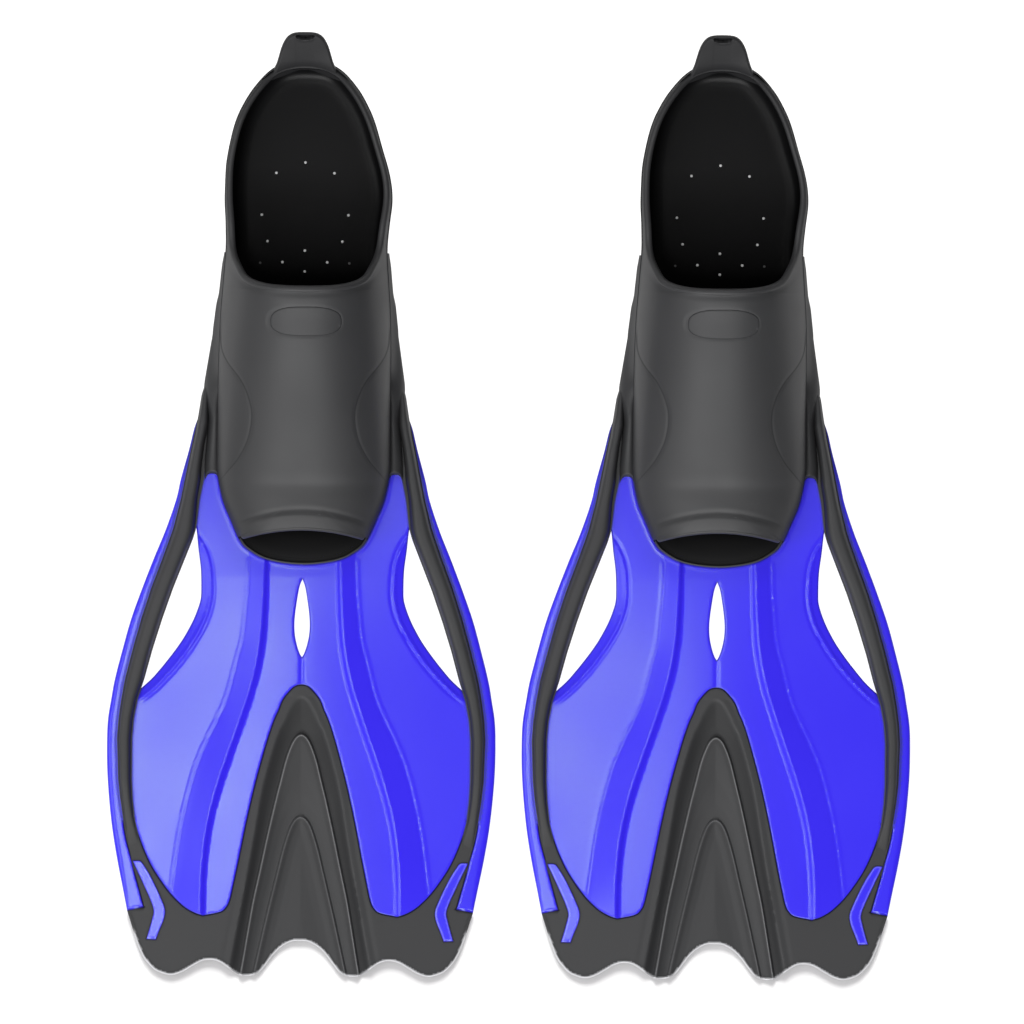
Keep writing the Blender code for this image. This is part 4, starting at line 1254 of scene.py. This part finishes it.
tab_part, tab_marks = heel_tab()
for s, o in build("heel_tab", tab_part, RUBBER, marks=tab_marks).items():
    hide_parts(s + "_heel_tab")
    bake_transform(o)

# ---------------------------------------------------------------- studio, in metres
scene = bpy.context.scene
scene.view_settings.view_transform = "Standard"
scene.view_settings.look = "None"
scene.view_settings.exposure = 0.0
scene.view_settings.gamma = 1.0


def studio_floor():
    bm = bmesh.new()
    bmesh.ops.create_grid(bm, x_segments=2, y_segments=2, size=4.0)
    mesh = bpy.data.meshes.new("studio_floor")
    bm.to_mesh(mesh)
    bm.free()
    o = bpy.data.objects.new("studio_floor", mesh)
    o.location.z = -0.0006
    scene.collection.objects.link(o)
    mat, tree, surface = new_material("studio_floor")
    pos = node(tree, "TexCoord", out="Object")
    noise = node(tree, "TexNoise", {"Vector": pos, "Scale": 3.0, "Detail": 2.0}, out="Fac")
    colour = mixed(tree, (0.93, 0.93, 0.915), (0.95, 0.95, 0.935), noise)
    tree.links.new(colour, surface["Base Color"])
    surface["Roughness"].default_value = 0.9
    surface["Specular IOR Level"].default_value = 0.1
    mesh.materials.append(mat)
    return o


floor = studio_floor()

# The world is brighter towards -x.
world = bpy.data.worlds.new("studio")
scene.world = world
world.use_nodes = True
tree = world.node_tree
background = tree.nodes["Background"].inputs
sky_x = node(tree, "SeparateXYZ", {0: node(tree, "TexCoord", out="Generated")}, out="X")
tree.links.new(remap(tree, sky_x, (-0.9, 0.9), (0.46, 0.10)), background["Strength"])
background["Color"].default_value = (1.0, 1.0, 1.0, 1)


def area(name, left, down, size, power, receivers, blockers=None, colour=(1, 1, 1)):
    """A soft box 5 m off facing the fins, leaning from the zenith to -x and -y by degrees."""
    data = bpy.data.lights.new(name, "AREA")
    data.shape = "RECTANGLE"
    data.size, data.size_y = size
    data.energy = power
    data.color = colour
    o = bpy.data.objects.new(name, data)
    d = Vector((-math.tan(math.radians(left)), -math.tan(math.radians(down)), 1.0)).normalized()
    o.location = d * 5.0
    o.rotation_mode = "QUATERNION"
    o.rotation_quaternion = d.to_track_quat("Z", "Y")
    scene.collection.objects.link(o)
    o.light_linking.receiver_collection = receivers
    if blockers:
        o.light_linking.blocker_collection = blockers


def linked(name, objects, state="INCLUDE"):
    """A set of objects for a light to fall on, or be blocked by."""
    c = bpy.data.collections.new(name)
    for o in objects:
        c.objects.link(o)
    for entry in c.collection_objects:
        entry.light_linking.link_state = state
    return c


only_floor = linked("light_on_floor", [floor])
not_floor = linked("light_on_fins", [floor], "EXCLUDE")
by_tips = linked("blocked_by_tips", tips)
by_floor = linked("blocked_by_floor_only", [floor])
area("front_softbox", left=10, down=46, size=(3.0, 2.4), power=207, receivers=not_floor)
area("left_strip", left=7.5, down=6.5, size=(0.36, 0.9), power=25, receivers=not_floor)
area("left_softbox", left=38, down=10, size=(1.6, 2.6), power=40, receivers=not_floor)
area("heel_softbox", left=-4, down=-38, size=(1.6, 1.6), power=40, receivers=not_floor)
area("floor_wash", left=0, down=0, size=(2.0, 2.0), power=95, receivers=only_floor,
     blockers=by_floor, colour=(0.97, 0.95, 1.0))
area("floor_heel_light", left=3, down=-51, size=(2.6, 2.4), power=310, receivers=only_floor,
     blockers=by_tips)

VIEW_WIDTH = 570.88 * MM    # width in view at FOCUS_Z
FOCUS_Z = 0.03
cam = bpy.data.cameras.new("camera")
cam.sensor_width = 36.0
cam.lens = 600.0
cam.clip_start, cam.clip_end = 0.1, 60
cam_o = bpy.data.objects.new("camera", cam)
scene.collection.objects.link(cam_o)
cam_o.location = (0.0009, -0.0029, FOCUS_Z + VIEW_WIDTH / 36.0 * 600.0)
cam_o.rotation_euler = (0, 0, math.radians(0.44))
scene.camera = cam_o
